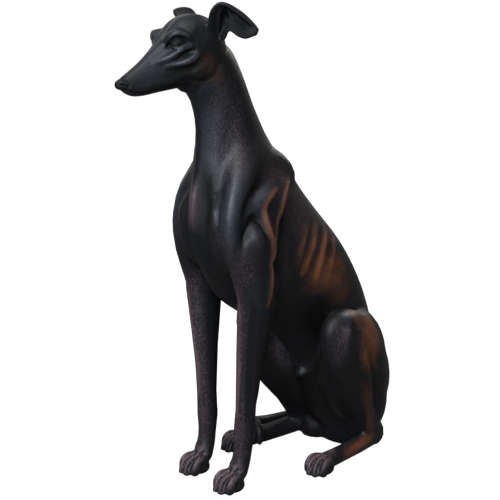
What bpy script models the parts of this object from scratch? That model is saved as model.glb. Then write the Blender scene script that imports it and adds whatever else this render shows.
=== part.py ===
"""A seated greyhound, cast in one piece and standing on its paws and rump.

The figure is drawn in hundredths of its own height. +X is the dog's left, -Y is forwards, +Z is up,
and the floor is at z = 0 with the origin under the middle of the figure's footprint.
Rounded masses are laid over one another like clay, fused by a voxel Remesh, smoothed,
and then carved with strokes that raise or sink the surface along a line.
"""

import math

import bmesh
import bpy
import numpy as np
from mathutils import Matrix, Vector
from mathutils.bvhtree import BVHTree

# Driving dimension, in metres: from the floor to the top of the raised ear.
HEIGHT = 0.76

# How fine the clay is: grains in the height, and triangles left in the solid.
CLAY_GRAINS = 270
SOLID_TRIANGLES = 9500
FINE_SHARE = 0.97

# How often the clay is smoothed: as it sets, and after each layer of modelling.
SETTLING = 9
BROAD_SOFTENING = 30
MUSCLE_SOFTENING = 8
CORD_SOFTENING = 2

# One hundredth of the height: every place and radius of the figure below is given in it.
UNIT = HEIGHT / 100

# Pose of the hind legs: how far forward of the left one each sits, and where hock and toes are, from the middle.
HIND_LEGS = {
    1: {"forward": 0.0, "hock": 9.2, "toes": 12.1, "splay": 8},
    -1: {"forward": 6.0, "hock": 8.4, "toes": 9.6, "splay": 4},
}

LEFT = 1
RIGHT = -1

# Where a stroke is laid: the side, and how far forward of its written place.
ONCE = ((LEFT, 0),)
BOTH = ((LEFT, 0), (RIGHT, 0))
HIND = tuple((side, pose["forward"]) for side, pose in HIND_LEGS.items())

# Trunk and neck, from the nape to the seat. Each row is one section:
# spine y, spine z, underside y, underside z, half width, where the section is widest (0 spine, 1 underside).
TRUNK = (
    (-8.6, 93.0, -15.8, 86.8, 3.0, 0.5),
    (-5.6, 91.4, -15.7, 83.4, 4.2, 0.5),
    (-3.0, 86.8, -13.9, 80.4, 4.6, 0.48),
    (-0.2, 80.6, -13.3, 75.6, 4.9, 0.46),
    (2.4, 75.6, -13.5, 70.6, 5.4, 0.46),
    (4.9, 71.8, -14.2, 65.2, 6.2, 0.5),
    (8.2, 68.2, -14.7, 60.0, 7.0, 0.55),
    (11.0, 64.4, -14.5, 54.4, 7.5, 0.55),
    (14.4, 60.2, -12.4, 47.8, 7.8, 0.52),
    (18.8, 55.4, -8.8, 41.2, 8.2, 0.5),
    (23.4, 50.4, -4.0, 37.0, 8.6, 0.48),
    (27.6, 44.8, 2.6, 32.8, 8.4, 0.46),
    (31.2, 39.0, 8.4, 28.4, 7.4, 0.45),
    (34.0, 33.4, 12.4, 23.6, 6.6, 0.45),
    (35.8, 26.8, 15.0, 18.6, 6.8, 0.45),
    (36.2, 19.6, 17.4, 13.2, 7.4, 0.45),
    (35.2, 12.4, 19.6, 8.0, 7.8, 0.5),
    (33.2, 5.6, 23.0, 3.6, 7.9, 0.55),
    (31.4, -0.8, 24.6, -1.0, 7.2, 0.6),
    (29.6, -3.0, 25.8, -3.0, 4.0, 0.5),
)

# Head, from the nape to the nose: top y, top z, bottom y, bottom z, half width, widest place.
HEAD = (
    (-6.6, 91.4, -9.4, 86.6, 2.4, 0.5),
    (-8.4, 95.2, -11.6, 85.8, 4.0, 0.45),
    (-11.6, 97.5, -14.2, 84.8, 4.9, 0.42),
    (-15.2, 98.0, -16.4, 84.2, 5.0, 0.40),
    (-18.6, 97.0, -18.4, 83.9, 4.45, 0.42),
    (-21.2, 94.7, -20.6, 83.6, 3.2, 0.5),
    (-23.7, 91.9, -23.0, 83.3, 2.45, 0.55),
    (-26.4, 89.5, -25.6, 82.9, 2.1, 0.58),
    (-29.0, 87.7, -27.9, 82.8, 1.8, 0.58),
    (-31.0, 86.4, -29.5, 83.2, 1.5, 0.55),
    (-31.9, 85.4, -30.6, 84.0, 0.8, 0.5),
)


def spline(rows, steps):
    """Rows of numbers made finer by a Catmull-Rom curve, with this many steps between two rows."""
    rows = np.asarray(rows, float)
    padded = np.vstack([2 * rows[0] - rows[1], rows, 2 * rows[-1] - rows[-2]])
    fine = []
    for a, b, c, d in zip(padded, padded[1:], padded[2:], padded[3:]):
        for t in np.arange(steps) / steps:
            fine.append(
                0.5
                * (
                    2 * b
                    + (c - a) * t
                    + (2 * a - 5 * b + 4 * c - d) * t**2
                    + (3 * b - a - 3 * c + d) * t**3
                )
            )
    fine.append(rows[-1])
    return np.array(fine)


def skin(clay, rings):
    """Adds one closed tube through the rings, each an array of points, with a pole at either end."""
    count = len(rings[0])
    verts = [[clay.verts.new(p) for p in ring] for ring in rings]
    for here, there in zip(verts, verts[1:]):
        for i in range(count):
            j = (i + 1) % count
            clay.faces.new((here[i], here[j], there[j], there[i]))
    for ring, turn in ((verts[0], -1), (verts[-1], 1)):
        pole = clay.verts.new(sum((v.co for v in ring), Vector()) / count)
        for i in range(count):
            corner = (ring[i], ring[(i + 1) % count], pole)
            clay.faces.new(corner[::turn])


def egg_ring(top, bottom, half_width, widest, points=40):
    """One section across the middle plane: two half ellipses that meet where it is widest."""
    top = np.array((0, *top))
    bottom = np.array((0, *bottom))
    middle = top + (bottom - top) * widest
    ring = []
    for angle in np.arange(points) * 2 * math.pi / points:
        pole = top if math.cos(angle) > 0 else bottom
        ring.append(
            middle
            + (pole - middle) * abs(math.cos(angle))
            + np.array((half_width * math.sin(angle), 0, 0))
        )
    return ring


def sections(clay, rows, steps=4):
    """A mass across the middle plane, skinned over its rows of sections."""
    skin(clay, [egg_ring(r[0:2], r[2:4], max(r[4], 0.2), r[5]) for r in spline(rows, steps)])


def limb(clay, rows, side=LEFT, steps=5, points=24, across=(1, 0, 0)):
    """A tapering limb. Each row is x, y, z, half width along "across", half depth; x is given for the left."""
    fine = spline(rows, steps)
    fine[:, 0] *= side
    tangents = np.gradient(fine[:, :3], axis=0)
    rings = []
    angles = np.arange(points) * 2 * math.pi / points
    for row, tangent in zip(fine, tangents):
        tangent = Vector(tangent).normalized()
        wide = Vector(across) - tangent * tangent.dot(Vector(across))
        wide.normalize()
        deep = tangent.cross(wide)
        ring = [
            row[:3] + np.array(wide) * row[3] * math.cos(a) + np.array(deep) * row[4] * math.sin(a)
            for a in angles
        ]
        rings.append(ring)
    ends = [rounded_end(rings, fine, first) for first in (True, False)]
    skin(clay, ends[0] + rings + ends[1])


def rounded_end(rings, rows, first):
    """Smaller rings that round off a limb's end."""
    ring, near = (rings[0], rings[1]) if first else (rings[-1], rings[-2])
    ring, near = np.array(ring), np.array(near)
    centre = ring.mean(0)
    away = centre - near.mean(0)
    away /= np.linalg.norm(away)
    reach = min(rows[0 if first else -1][3:5])
    caps = []
    for angle in (30, 55, 78):
        turn = math.radians(angle)
        caps.append(list(centre + (ring - centre) * math.cos(turn) + away * reach * math.sin(turn)))
    return caps[::-1] if first else caps


def lump(clay, centre, radii, side=LEFT, turn=(0, 0, 0)):
    """An ellipsoid. turn is in degrees about X, Y and Z; centre and turn are given for the left."""
    x, y, z = (math.radians(t) for t in turn)
    spin = Matrix.Rotation(z * side, 4, "Z") @ Matrix.Rotation(y * side, 4, "Y") @ Matrix.Rotation(x, 4, "X")
    place = Matrix.Translation((centre[0] * side, centre[1], centre[2])) @ spin @ Matrix.Diagonal((*radii, 1))
    bmesh.ops.create_icosphere(clay, subdivisions=4, radius=1, matrix=place)


def shoulder(clay, side):
    """Shoulder blade, the long muscle from the neck over the shoulder, upper arm, triceps and elbow."""
    lump(clay, (3.0, 5.2, 66.7), (2.6, 5.8, 3.0), side, turn=(-42, 0, 0))
    limb(clay, (
        (4.4, 3.2, 65.0, 2.3, 4.2),
        (6.2, -0.6, 61.0, 2.5, 5.0),
        (7.4, -4.6, 57.2, 2.3, 4.6),
    ), side, across=(1, 0, 0.3))
    limb(clay, (
        (4.0, -3.6, 74.0, 1.5, 3.0),
        (5.2, -5.6, 69.0, 2.0, 3.6),
        (6.7, -8.4, 63.0, 2.2, 3.7),
        (7.8, -9.6, 57.0, 2.3, 3.9),
        (8.5, -8.8, 51.6, 2.45, 4.2),
        (8.7, -6.8, 46.6, 2.6, 4.4),
        (8.5, -5.4, 42.0, 2.6, 4.2),
    ), side)
    lump(clay, (8.6, -4.2, 53.0), (2.3, 3.7, 6.6), side, turn=(-14, 0, 0))
    lump(clay, (8.2, -0.8, 43.6), (1.6, 2.2, 3.4), side)


def foreleg(clay, side):
    """Forearm, wrist and pastern down to the paw."""
    limb(clay, (
        (8.5, -5.4, 46.6, 2.8, 4.4),
        (8.7, -5.3, 41.6, 3.0, 4.4),
        (8.3, -5.5, 36.8, 2.8, 4.0),
        (7.6, -5.9, 31.0, 2.45, 3.3),
        (7.0, -6.2, 24.0, 2.1, 2.65),
        (6.6, -6.4, 17.0, 2.0, 2.3),
        (6.3, -6.5, 12.6, 2.15, 2.35),
        (6.2, -6.7, 9.0, 1.95, 2.0),
        (6.1, -7.2, 6.0, 2.0, 2.0),
        (6.0, -8.2, 3.6, 2.3, 2.2),
    ), side)


def paw(clay, side, at, splay, length=7.0, width=5.5):
    """Four arched toes with their nails, in front of a heel pad. at is the middle of the sole."""
    turn = math.radians(splay)

    def place(x, y, z):
        return (
            at[0] + x * math.cos(turn) - y * math.sin(turn),
            at[1] + x * math.sin(turn) + y * math.cos(turn),
            z,
        )

    across = (math.cos(turn) * 1.0, math.sin(turn) * side, 0)
    reach = length / 2
    for share, back in ((-0.74, 1.2), (-0.26, 0.0), (0.26, 0.0), (0.74, 1.2)):
        x = share * width / 2
        limb(clay, (
            (*place(x * 0.75, reach * 0.45, 2.9), 0.95, 1.0),
            (*place(x * 0.95, -reach * 0.15 + back * 0.3, 3.0), 0.9, 1.1),
            (*place(x * 1.05, -reach * 0.55 + back * 0.7, 2.1), 0.92, 1.15),
            (*place(x * 1.05, -reach + 1.0 + back, 0.8), 0.88, 1.1),
        ), side, points=16, across=across)
        limb(clay, (
            (*place(x * 1.05, -reach + 0.9 + back, 1.2), 0.42, 0.45),
            (*place(x * 1.08, -reach + 0.4 + back, 0.9), 0.38, 0.42),
            (*place(x * 1.08, -reach + 0.1 + back, 0.5), 0.3, 0.32),
        ), side, points=10, across=across)
    x, y, z = place(0, reach * 0.3, 0.9)
    lump(clay, (x, y, z), (width * 0.46, reach * 0.8, 1.7), side, turn=(0, 0, splay))


def hind_leg(clay, side):
    """Haunch, knee, shin, hock and the foot that lies along the floor."""
    pose = HIND_LEGS[side]
    f, h, t = pose["forward"], pose["hock"], pose["toes"]
    lump(clay, (6.6, 25.6 - 0.5 * f, 18.4), (6.0, 9.6, 13.0), side, turn=(24, 0, 0))
    lump(clay, (5.0, 28.6 - 0.3 * f, 23.6), (5.8, 6.2, 10.0), side, turn=(20, 0, 0))
    lump(clay, (7.4, 28.4 - 0.7 * f, 12.0), (4.4, 6.0, 9.4), side, turn=(6, 0, 0))
    limb(clay, (
        (6.4, 28.0 - 0.5 * f, 22.0, 4.4, 6.0),
        (8.2, 23.6 - 0.7 * f, 26.8, 4.2, 6.2),
        (9.6, 19.0 - 0.9 * f, 30.0, 3.6, 5.0),
        (10.4, 15.6 - f, 31.4, 2.9, 3.6),
    ), side)
    lump(clay, (10.6, 14.6 - f, 31.0), (2.4, 2.7, 3.3), side, turn=(-20, 0, 0))
    limb(clay, (
        (10.5, 14.6 - f, 30.4, 2.6, 3.0),
        (10.4, 16.6 - f, 24.6, 2.7, 3.8),
        (10.0, 20.4 - f, 17.6, 2.6, 3.8),
        (h + 0.4, 24.6 - f, 11.0, 2.0, 2.9),
        (h + 0.1, 27.2 - f, 6.0, 1.7, 2.2),
        (h, 28.2 - f, 3.2, 1.8, 2.1),
    ), side)
    lump(clay, (h, 29.2 - f, 3.4), (1.8, 1.9, 2.3), side)
    lump(clay, (h - 3.4, 30.8 - 0.9 * f, 2.2), (4.2, 4.4, 4.0), side)
    limb(clay, (
        (h, 28.6 - f, 2.2, 1.9, 2.0),
        (h * 0.75 + t * 0.25, 23.4 - f, 1.9, 1.9, 1.9),
        (h * 0.5 + t * 0.5, 18.0 - f, 1.8, 1.9, 1.85),
        (h * 0.25 + t * 0.75, 13.4 - f, 1.9, 2.0, 1.9),
        (t - 0.2, 10.8 - f, 2.0, 2.2, 1.8),
    ), side)


def face(clay, side):
    """Brow, eyeball, cheekbone, cheek and lip on one side of the head."""
    lump(clay, (3.3, -20.2, 92.3), (1.15, 1.35, 1.05), side)
    lump(clay, (2.7, -19.6, 93.4), (1.6, 2.6, 1.9), side)
    limb(clay, (
        (1.6, -21.6, 92.9, 0.7, 0.9),
        (2.7, -21.2, 93.9, 0.9, 0.95),
        (3.6, -20.2, 94.1, 0.9, 1.0),
        (4.0, -18.8, 93.7, 0.8, 1.0),
        (4.0, -17.2, 93.0, 0.6, 0.9),
    ), side, points=14)
    limb(clay, (
        (1.6, -24.4, 88.9, 0.6, 0.6),
        (2.6, -21.8, 90.0, 0.75, 0.75),
        (3.6, -19.6, 91.0, 0.8, 0.75),
        (4.1, -17.9, 91.8, 0.6, 0.6),
    ), side, points=14)
    limb(clay, (
        (2.6, -22.0, 88.4, 0.7, 0.7),
        (3.5, -19.6, 88.8, 0.85, 0.8),
        (4.2, -17.4, 89.7, 0.85, 0.8),
        (4.5, -15.2, 91.0, 0.6, 0.7),
    ), side, points=14)
    lump(clay, (3.3, -14.4, 88.6), (1.5, 3.4, 3.2), side)
    limb(clay, (
        (1.15, -29.2, 84.4, 0.5, 0.8),
        (1.6, -26.4, 84.6, 0.6, 1.0),
        (2.0, -23.0, 85.2, 0.6, 1.0),
        (2.6, -19.6, 86.0, 0.5, 0.8),
    ), side, points=12)


def ear(clay, side):
    """A cupped ear that stands up at its root and is blown outwards and back to a rounded tip."""
    out, droop = (0.0, 0.0) if side == LEFT else (1.6, 1.4)
    upper = spline((
        (4.0, -13.8, 95.4), (5.3 + out, -13.8, 98.7 - droop / 2), (6.6 + out, -12.4, 100.1 - droop),
        (8.1, -10.0, 98.6), (9.2, -8.0, 96.8), (10.0, -6.2, 94.9)), 5)
    deep = spline((
        (3.6, -9.8, 94.4), (4.4, -9.8, 96.4), (5.7, -9.6, 97.8),
        (7.3, -8.4, 97.2), (8.6, -7.0, 95.8), (9.9, -5.9, 94.5)), 5)
    lower = spline((
        (5.2, -11.2, 92.6), (6.0, -10.9, 94.2), (6.8, -10.5, 94.8),
        (8.0, -9.6, 93.7), (9.1, -8.2, 93.2), (10.1, -6.4, 94.2)), 5)
    across = 21
    thick = 0.6
    sheet = np.empty((len(upper), across, 3))
    for i, t in enumerate(np.linspace(0, 1, across)):
        middle = 2 * deep - (upper + lower) / 2
        sheet[:, i] = (1 - t) ** 2 * upper + 2 * t * (1 - t) * middle + t**2 * lower
    sheet[..., 0] *= side
    along = np.gradient(sheet, axis=0)
    over = np.gradient(sheet, axis=1)
    normal = np.cross(along, over)
    normal /= np.linalg.norm(normal, axis=2, keepdims=True) + 1e-9
    rings = []
    rim = np.sqrt(1 - np.abs(np.linspace(-0.97, 0.97, across)) ** 5)[:, None] * thick * side
    for row, out in zip(sheet, normal):
        front = row + out * rim
        back = row - out * rim
        rings.append(list(front) + list(back[::-1]))
    skin(clay, rings if side > 0 else [r[::-1] for r in rings])


def tail(clay):
    """The tail lies on the floor round the right side, and its end hangs over the right foot."""
    limb(clay, (
        (0.0, 33.0, 6.0, 2.0, 2.0),
        (-1.6, 36.2, 2.8, 1.7, 1.7),
        (-6.0, 36.6, 1.5, 1.5, 1.5),
        (-11.0, 33.4, 1.3, 1.35, 1.35),
        (-14.6, 27.0, 1.2, 1.25, 1.25),
        (-15.8, 20.0, 1.3, 1.2, 1.2),
        (-14.9, 14.4, 2.6, 1.15, 1.15),
        (-12.0, 11.2, 4.3, 1.1, 1.1),
        (-9.0, 9.9, 5.0, 1.05, 1.05),
        (-7.0, 9.0, 4.0, 0.95, 0.95),
        (-6.3, 8.5, 1.6, 0.8, 0.8),
    ), across=(0.3, 0.3, 1))


def lay_clay():
    """All the masses of the figure, overlapping, in one mesh."""
    clay = bmesh.new()
    sections(clay, TRUNK)
    sections(clay, HEAD)
    lump(clay, (0, -13.3, 57.2), (1.7, 1.9, 3.4), turn=(-4, 0, 0))
    lump(clay, (0, -15.6, 84.9), (3.0, 2.8, 2.0), turn=(-12, 0, 0))
    for side in (LEFT, RIGHT):
        shoulder(clay, side)
        foreleg(clay, side)
        hind_leg(clay, side)
        lump(clay, (4.6, -9.8, 54.6), (3.2, 4.2, 8.6), side, turn=(10, 0, 0))
        face(clay, side)
        ear(clay, side)
    for side, at, splay in paws():
        paw(clay, side, at, splay)
    lump(clay, (0, 28.8, 3.0), (7.8, 5.2, 8.0))
    lump(clay, (0, -31.2, 85.2), (1.25, 0.95, 1.0))
    limb(clay, ((0.2, 17.6, 24.0, 1.5, 1.5), (0.4, 16.2, 21.4, 1.4, 1.4), (0.6, 15.0, 19.3, 1.6, 1.6)))
    tail(clay)
    bmesh.ops.recalc_face_normals(clay, faces=clay.faces)
    return clay


def fused(clay, voxel):
    """The clay as one object, remeshed to a single skin."""
    mesh = bpy.data.meshes.new("greyhound")
    bmesh.ops.scale(clay, vec=(UNIT, UNIT, UNIT), verts=clay.verts)
    clay.to_mesh(mesh)
    clay.free()
    figure = bpy.data.objects.new("greyhound", mesh)
    bpy.context.scene.collection.objects.link(figure)
    remesh = figure.modifiers.new("fuse", "REMESH")
    remesh.mode = "VOXEL"
    remesh.voxel_size = voxel
    smooth = figure.modifiers.new("settle", "SMOOTH")
    smooth.factor = 0.5
    smooth.iterations = SETTLING
    apply_modifiers(figure)
    return figure


def ramp(value, low, high):
    """0 below low, 1 above high, and a smooth rise between them."""
    share = min(max((value - low) / (high - low), 0), 1)
    return share * share * (3 - 2 * share)


def soften(figure, iterations):
    """Softens the joins between the masses of trunk and haunches, and leaves head, ears, legs and paws crisp."""
    group = figure.vertex_groups.new(name="broad")
    for vert in figure.data.vertices:
        y, z = vert.co.y / UNIT, vert.co.z / UNIT
        trunk = ramp(z, 44 - 0.5 * max(y, 0), 50 - 0.5 * max(y, 0)) * ramp(-z, -84, -78)
        haunch = ramp(y, 15, 19) * ramp(z, 9, 14)
        group.add([vert.index], max(trunk, haunch * 0.5), "REPLACE")
    smooth = figure.modifiers.new("soften", "SMOOTH")
    smooth.factor = 0.5
    smooth.iterations = iterations
    smooth.vertex_group = group.name
    apply_modifiers(figure)
    figure.vertex_groups.clear()


def apply_modifiers(figure):
    """The object's mesh as its modifiers leave it."""
    graph = bpy.context.evaluated_depsgraph_get()
    made = bpy.data.meshes.new_from_object(figure.evaluated_get(graph))
    figure.modifiers.clear()
    figure.data = made


# Carving. Each stroke is where it is laid, its radius, its height (sunk where below zero), and its line, for the left.
MUSCLES = (
    # Broad muscle from the neck over the shoulder, and the shallow groove before it.
    (BOTH, 3.4, 0.55, (5.3, -0.9, 71.1), (7.0, -5.8, 68.5), (7.7, -8.8, 66.1), (8.3, -10.6, 62.6),
     (8.8, -11.6, 58.6),
     (9.2, -12.0, 54.8)),
    (BOTH, 1.9, -0.40, (7.0, -8.0, 68.4), (6.8, -11.0, 65.2), (6.4, -12.2, 61.7), (6.4, -12.9, 58.4)),
    # The forked groove behind it.
    (BOTH, 2.0, -0.95, (6.5, -0.8, 65.5), (6.9, -2.8, 64.1), (7.9, -5.8, 62.7), (8.8, -8.1, 60.9),
     (9.3, -9.4, 58.3),
     (9.8, -10.3, 54.8), (10.1, -11.0, 51.6)),
    (BOTH, 1.4, -0.80, (9.8, -9.8, 54.8), (9.9, -8.7, 56.6), (9.5, -7.2, 57.8), (9.3, -5.5, 58.4),
     (9.4, -4.4, 57.0),
     (10.2, -3.9, 54.2)),
    # Behind the fork: the lobe above, the triceps below.
    (BOTH, 2.2, 0.50, (7.6, -2.6, 63.4), (8.2, -4.4, 61.6), (8.6, -6.1, 59.8)),
    (BOTH, 3.0, 0.90, (9.6, -7.0, 56.4), (10.3, -6.6, 54.0), (10.6, -6.2, 50.6)),
    # Between the arm and the ribs.
    (BOTH, 1.8, -0.75, (6.7, 4.8, 59.3), (7.4, 3.3, 56.4), (7.6, 2.4, 52.3), (7.9, 1.6, 48.9),
     (8.2, 0.9, 45.2), (8.4, 0.2, 42.0)),
    # Breastbone, the valleys beside it, and the long grooves of the neck.
    (ONCE, 1.8, 0.75, (0, -13.8, 66.0), (0, -14.4, 62.0), (0, -14.8, 58.0), (0, -14.6, 54.6)),
    (BOTH, 1.8, -0.55, (2.3, -13.8, 67.0), (3.0, -14.2, 62.1), (3.4, -14.4, 58.6)),
    (BOTH, 0.9, 0.30, (5.0, -13.2, 60.6), (5.6, -13.6, 57.4)),
    (BOTH, 2.2, -0.40, (4.6, -7.1, 83.4), (4.9, -8.2, 77.6), (4.9, -9.2, 72.4), (5.0, -10.4, 68.4)),
    (BOTH, 2.2, -0.40, (3.4, -12.0, 82.0), (2.8, -12.6, 77.7), (2.3, -12.8, 71.8), (2.6, -13.2, 68.0)),
    # Hollow in front of the haunch.
    (BOTH, 2.6, -0.5, (8.2, 13.0, 36.0), (8.0, 17.0, 36.8), (7.8, 21.0, 38.0), (7.0, 26.0, 38.4)),
)

CORDS = (
    # Two cords that run together behind the triceps, down to the elbow.
    (BOTH, 0.9, 0.55, (7.8, 0.7, 63.4), (9.0, -1.8, 61.9), (9.5, -3.4, 60.3), (10.1, -3.9, 58.0),
     (10.9, -3.3, 55.6),
     (11.3, -2.5, 53.1), (11.2, -2.2, 50.6), (11.2, -2.4, 48.2), (11.3, -3.0, 45.8), (11.7, -3.8, 43.4),
     (11.6, -4.6, 40.5)),
    (BOTH, 0.9, 0.55, (6.2, 6.0, 64.6), (8.0, 3.8, 62.9), (8.6, 2.4, 60.8), (9.5, 1.0, 58.5),
     (10.2, -0.4, 56.0),
     (10.9, -1.6, 53.4), (11.3, -2.0, 51.0), (11.2, -2.3, 48.6)),
    # Ribs.
    (BOTH, 1.4, 0.26, (6.3, 11.4, 55.4), (6.8, 10.1, 54.2), (7.5, 8.6, 51.5), (7.9, 7.1, 48.7),
     (8.2, 6.0, 46.0)),
    (BOTH, 1.4, 0.32, (5.6, 14.6, 54.6), (6.3, 13.2, 53.2), (7.2, 11.5, 50.3), (8.3, 9.1, 47.2),
     (8.5, 7.8, 44.6)),
    (BOTH, 1.4, 0.34, (4.4, 18.2, 53.2), (5.4, 16.7, 51.7), (7.1, 14.6, 48.8), (8.5, 12.2, 45.0),
     (8.6, 11.2, 42.4)),
    (BOTH, 1.4, 0.34, (4.2, 20.8, 51.0), (5.2, 19.4, 49.5), (7.2, 17.2, 46.6), (8.4, 15.3, 42.7),
     (8.4, 14.4, 40.2)),
    (BOTH, 1.4, 0.28, (4.2, 23.0, 48.8), (5.2, 21.6, 47.4), (7.1, 20.1, 44.4), (8.2, 18.5, 40.4)),
)

HAUNCHES = (
    # Knee cap, with a crease across it, and the dent behind it.
    (HIND, 1.9, 0.50, (11.9, 17.9, 34.4), (12.7, 16.9, 32.4), (13.1, 16.3, 30.2), (13.0, 16.6, 27.0)),
    (HIND, 0.8, -0.30, (12.0, 15.6, 32.4), (12.8, 17.0, 32.2), (12.6, 18.4, 31.6)),
    (HIND, 2.2, -0.50, (10.9, 23.0, 33.4), (11.5, 24.4, 31.6), (11.9, 25.6, 28.6)),
    # The ridge down the thigh, and the hamstring groove behind it.
    (HIND, 2.6, 0.50, (13.0, 19.0, 31.0), (12.6, 20.8, 26.1), (12.4, 23.0, 18.7), (12.0, 25.2, 12.1),
     (10.9, 27.4, 6.4)),
    (HIND, 2.0, -0.95, (11.9, 25.2, 25.6), (12.4, 26.4, 20.6), (12.0, 27.3, 15.6), (11.3, 28.2, 11.3),
     (10.9, 28.8, 8.0)),
    (HIND, 2.4, -0.35, (12.8, 15.6, 27.6), (12.8, 18.0, 21.6), (12.0, 20.6, 15.0), (10.8, 24.0, 8.8)),
    # Inside of the shin.
    (HIND, 1.6, 0.35, (7.9, 16.4, 21.2), (7.4, 18.8, 16.4), (7.4, 21.4, 11.6), (7.6, 24.2, 6.6)),
    # Ridge along the foot.
    (HIND, 1.0, 0.30, (9.6, 26.6, 3.9), (10.2, 22.4, 3.6), (10.8, 18.0, 3.6), (11.6, 13.4, 3.7)),
)

FORELEGS = (
    (BOTH, 0.9, 0.25, (8.4, -9.4, 42.0), (8.2, -9.4, 36.0), (7.5, -9.1, 30.0), (6.9, -8.8, 23.0),
     (6.5, -8.6, 16.0)),
    (BOTH, 1.0, -0.30, (10.9, -7.6, 43.0), (10.4, -7.6, 37.0), (9.4, -7.4, 31.0), (8.6, -7.2, 24.0),
     (8.2, -7.0, 16.0)),
    (BOTH, 1.0, 0.30, (10.0, -2.6, 42.0), (9.4, -2.4, 35.0), (8.6, -3.2, 27.0), (7.6, -4.2, 19.0)),
)

FACE = (
    # Eye: the ball in a shallow socket, and the lines of the two lids.
    (BOTH, 1.7, -0.22, (2.8, -21.5, 92.4), (3.6, -21.0, 92.8), (4.4, -19.6, 92.8)),
    (BOTH, 1.0, 0.32, (3.7, -20.9, 92.8), (4.1, -20.2, 92.9)),
    (BOTH, 0.5, -0.40, (1.9, -21.9, 91.7), (2.3, -21.6, 92.1), (2.7, -21.5, 92.4)),
    (BOTH, 0.42, -0.38, (2.4, -21.6, 92.4), (3.1, -21.6, 93.1), (3.8, -21.2, 93.5), (4.3, -20.4, 93.6),
     (4.6, -19.6, 93.3),
     (4.7, -18.9, 92.6)),
    (BOTH, 0.36, -0.26, (2.6, -21.4, 92.0), (3.5, -21.3, 92.0), (4.2, -20.4, 92.1), (4.6, -19.3, 92.3)),
    # Fold below the eye, the crease under it, the second fold and the hollow under that.
    (BOTH, 1.2, 0.35, (4.6, -18.2, 91.9), (4.3, -19.4, 91.3), (3.9, -20.7, 90.6), (3.1, -22.4, 89.8)),
    (BOTH, 0.8, -0.50, (4.7, -17.4, 91.2), (4.4, -19.0, 90.7), (4.0, -20.1, 90.2)),
    (BOTH, 1.2, 0.40, (4.9, -16.3, 90.8), (4.9, -17.5, 90.0), (4.6, -18.7, 89.4), (4.1, -20.0, 89.0)),
    (BOTH, 1.4, -0.35, (4.5, -15.6, 89.4), (4.1, -17.2, 88.3), (3.5, -19.1, 87.7), (2.9, -21.2, 87.7)),
    # The temple and the line down the forehead.
    (BOTH, 2.4, -0.30, (4.2, -17.0, 95.2), (4.7, -15.6, 94.4), (4.9, -14.0, 93.4)),
    (ONCE, 1.0, -0.25, (0, -24.0, 91.6), (0, -21.6, 94.4), (0, -18.6, 96.8)),
    # Mouth, the edge of the nose, and the nostril.
    (BOTH, 0.45, -0.40, (0.9, -30.8, 84.2), (1.3, -29.9, 84.0), (1.3, -28.5, 83.6), (1.6, -26.2, 83.6),
     (2.0, -23.2, 84.2),
     (2.4, -20.4, 85.0), (2.8, -18.4, 85.6)),
    (BOTH, 0.42, -0.25, (0.2, -30.6, 86.6), (0.8, -30.8, 86.2), (1.3, -30.3, 85.8), (1.5, -30.0, 85.0),
     (1.2, -30.4, 84.4)),
    (BOTH, 0.42, -0.45, (0.8, -31.7, 85.3), (1.2, -31.1, 85.2), (1.4, -30.6, 84.8)),
    # Inside of the left ear: its hollow, the folds beside that, and the groove under the rolled rim.
    (ONCE, 1.0, -0.75, (6.2, -10.8, 98.2), (5.6, -10.5, 97.0), (5.4, -10.5, 95.6), (5.2, -10.7, 94.6)),
    (ONCE, 0.7, 0.35, (6.1, -11.9, 98.9), (5.4, -11.8, 97.9), (4.9, -11.6, 96.8), (4.4, -11.1, 95.5),
     (4.4, -11.0, 94.4)),
    (ONCE, 0.8, -0.45, (6.8, -10.9, 98.7), (7.2, -9.8, 97.8), (7.9, -9.0, 96.9), (8.8, -8.2, 95.9),
     (9.5, -7.2, 95.1)),
)

def paws():
    """Side, middle of the sole and splay of each paw."""
    fore = [(side, (6.0, -10.6), 0) for side in (LEFT, RIGHT)]
    hind = [(side, (pose["toes"], 10.0 - pose["forward"]), pose["splay"]) for side, pose in HIND_LEGS.items()]
    return fore + hind


def toe_grooves(length=7.0, width=5.5):
    """The three strokes that part the toes, on every paw."""
    strokes = []
    for side, at, splay in paws():
        turn = math.radians(splay)
        for share in (-0.5, 0.0, 0.5):
            x = share * width / 2
            line = []
            for along, height in ((0.25, 4.4), (-0.25, 3.9), (-0.7, 2.8), (-0.98, 1.4)):
                y = along * length / 2 + abs(share) * 1.4
                line.append((at[0] + x * math.cos(turn) - y * math.sin(turn),
                             at[1] + x * math.sin(turn) + y * math.cos(turn), height))
            strokes.append((((side, 0),), 0.75, -0.65, *line))
    return tuple(strokes)


def reach(places, line):
    """For each place: its distance to the line, how far along the line is nearest, and at which of its steps."""
    steps = np.diff(line, axis=0)
    lengths = np.linalg.norm(steps, axis=1)
    starts = np.concatenate([[0], np.cumsum(lengths)])
    nearest = np.full(len(places), np.inf)
    along = np.zeros(len(places))
    which = np.zeros(len(places), int)
    for i, (start, step, length) in enumerate(zip(line, steps, lengths)):
        share = np.clip((places - start) @ step / max(length, 1e-6) ** 2, 0, 1)
        apart = np.linalg.norm(places - start - share[:, None] * step, axis=1)
        closer = apart < nearest
        nearest[closer] = apart[closer]
        along[closer] = starts[i] + share[closer] * length
        which[closer] = i
    return nearest, along, which


def surface_of(figure):
    """Places, in units, and normals of the figure's vertices."""
    mesh = figure.data
    places = np.empty(len(mesh.vertices) * 3)
    mesh.vertices.foreach_get("co", places)
    normals = np.empty(len(mesh.vertices) * 3)
    mesh.vertex_normals.foreach_get("vector", normals)
    return places.reshape(-1, 3) / UNIT, normals.reshape(-1, 3)


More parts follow.
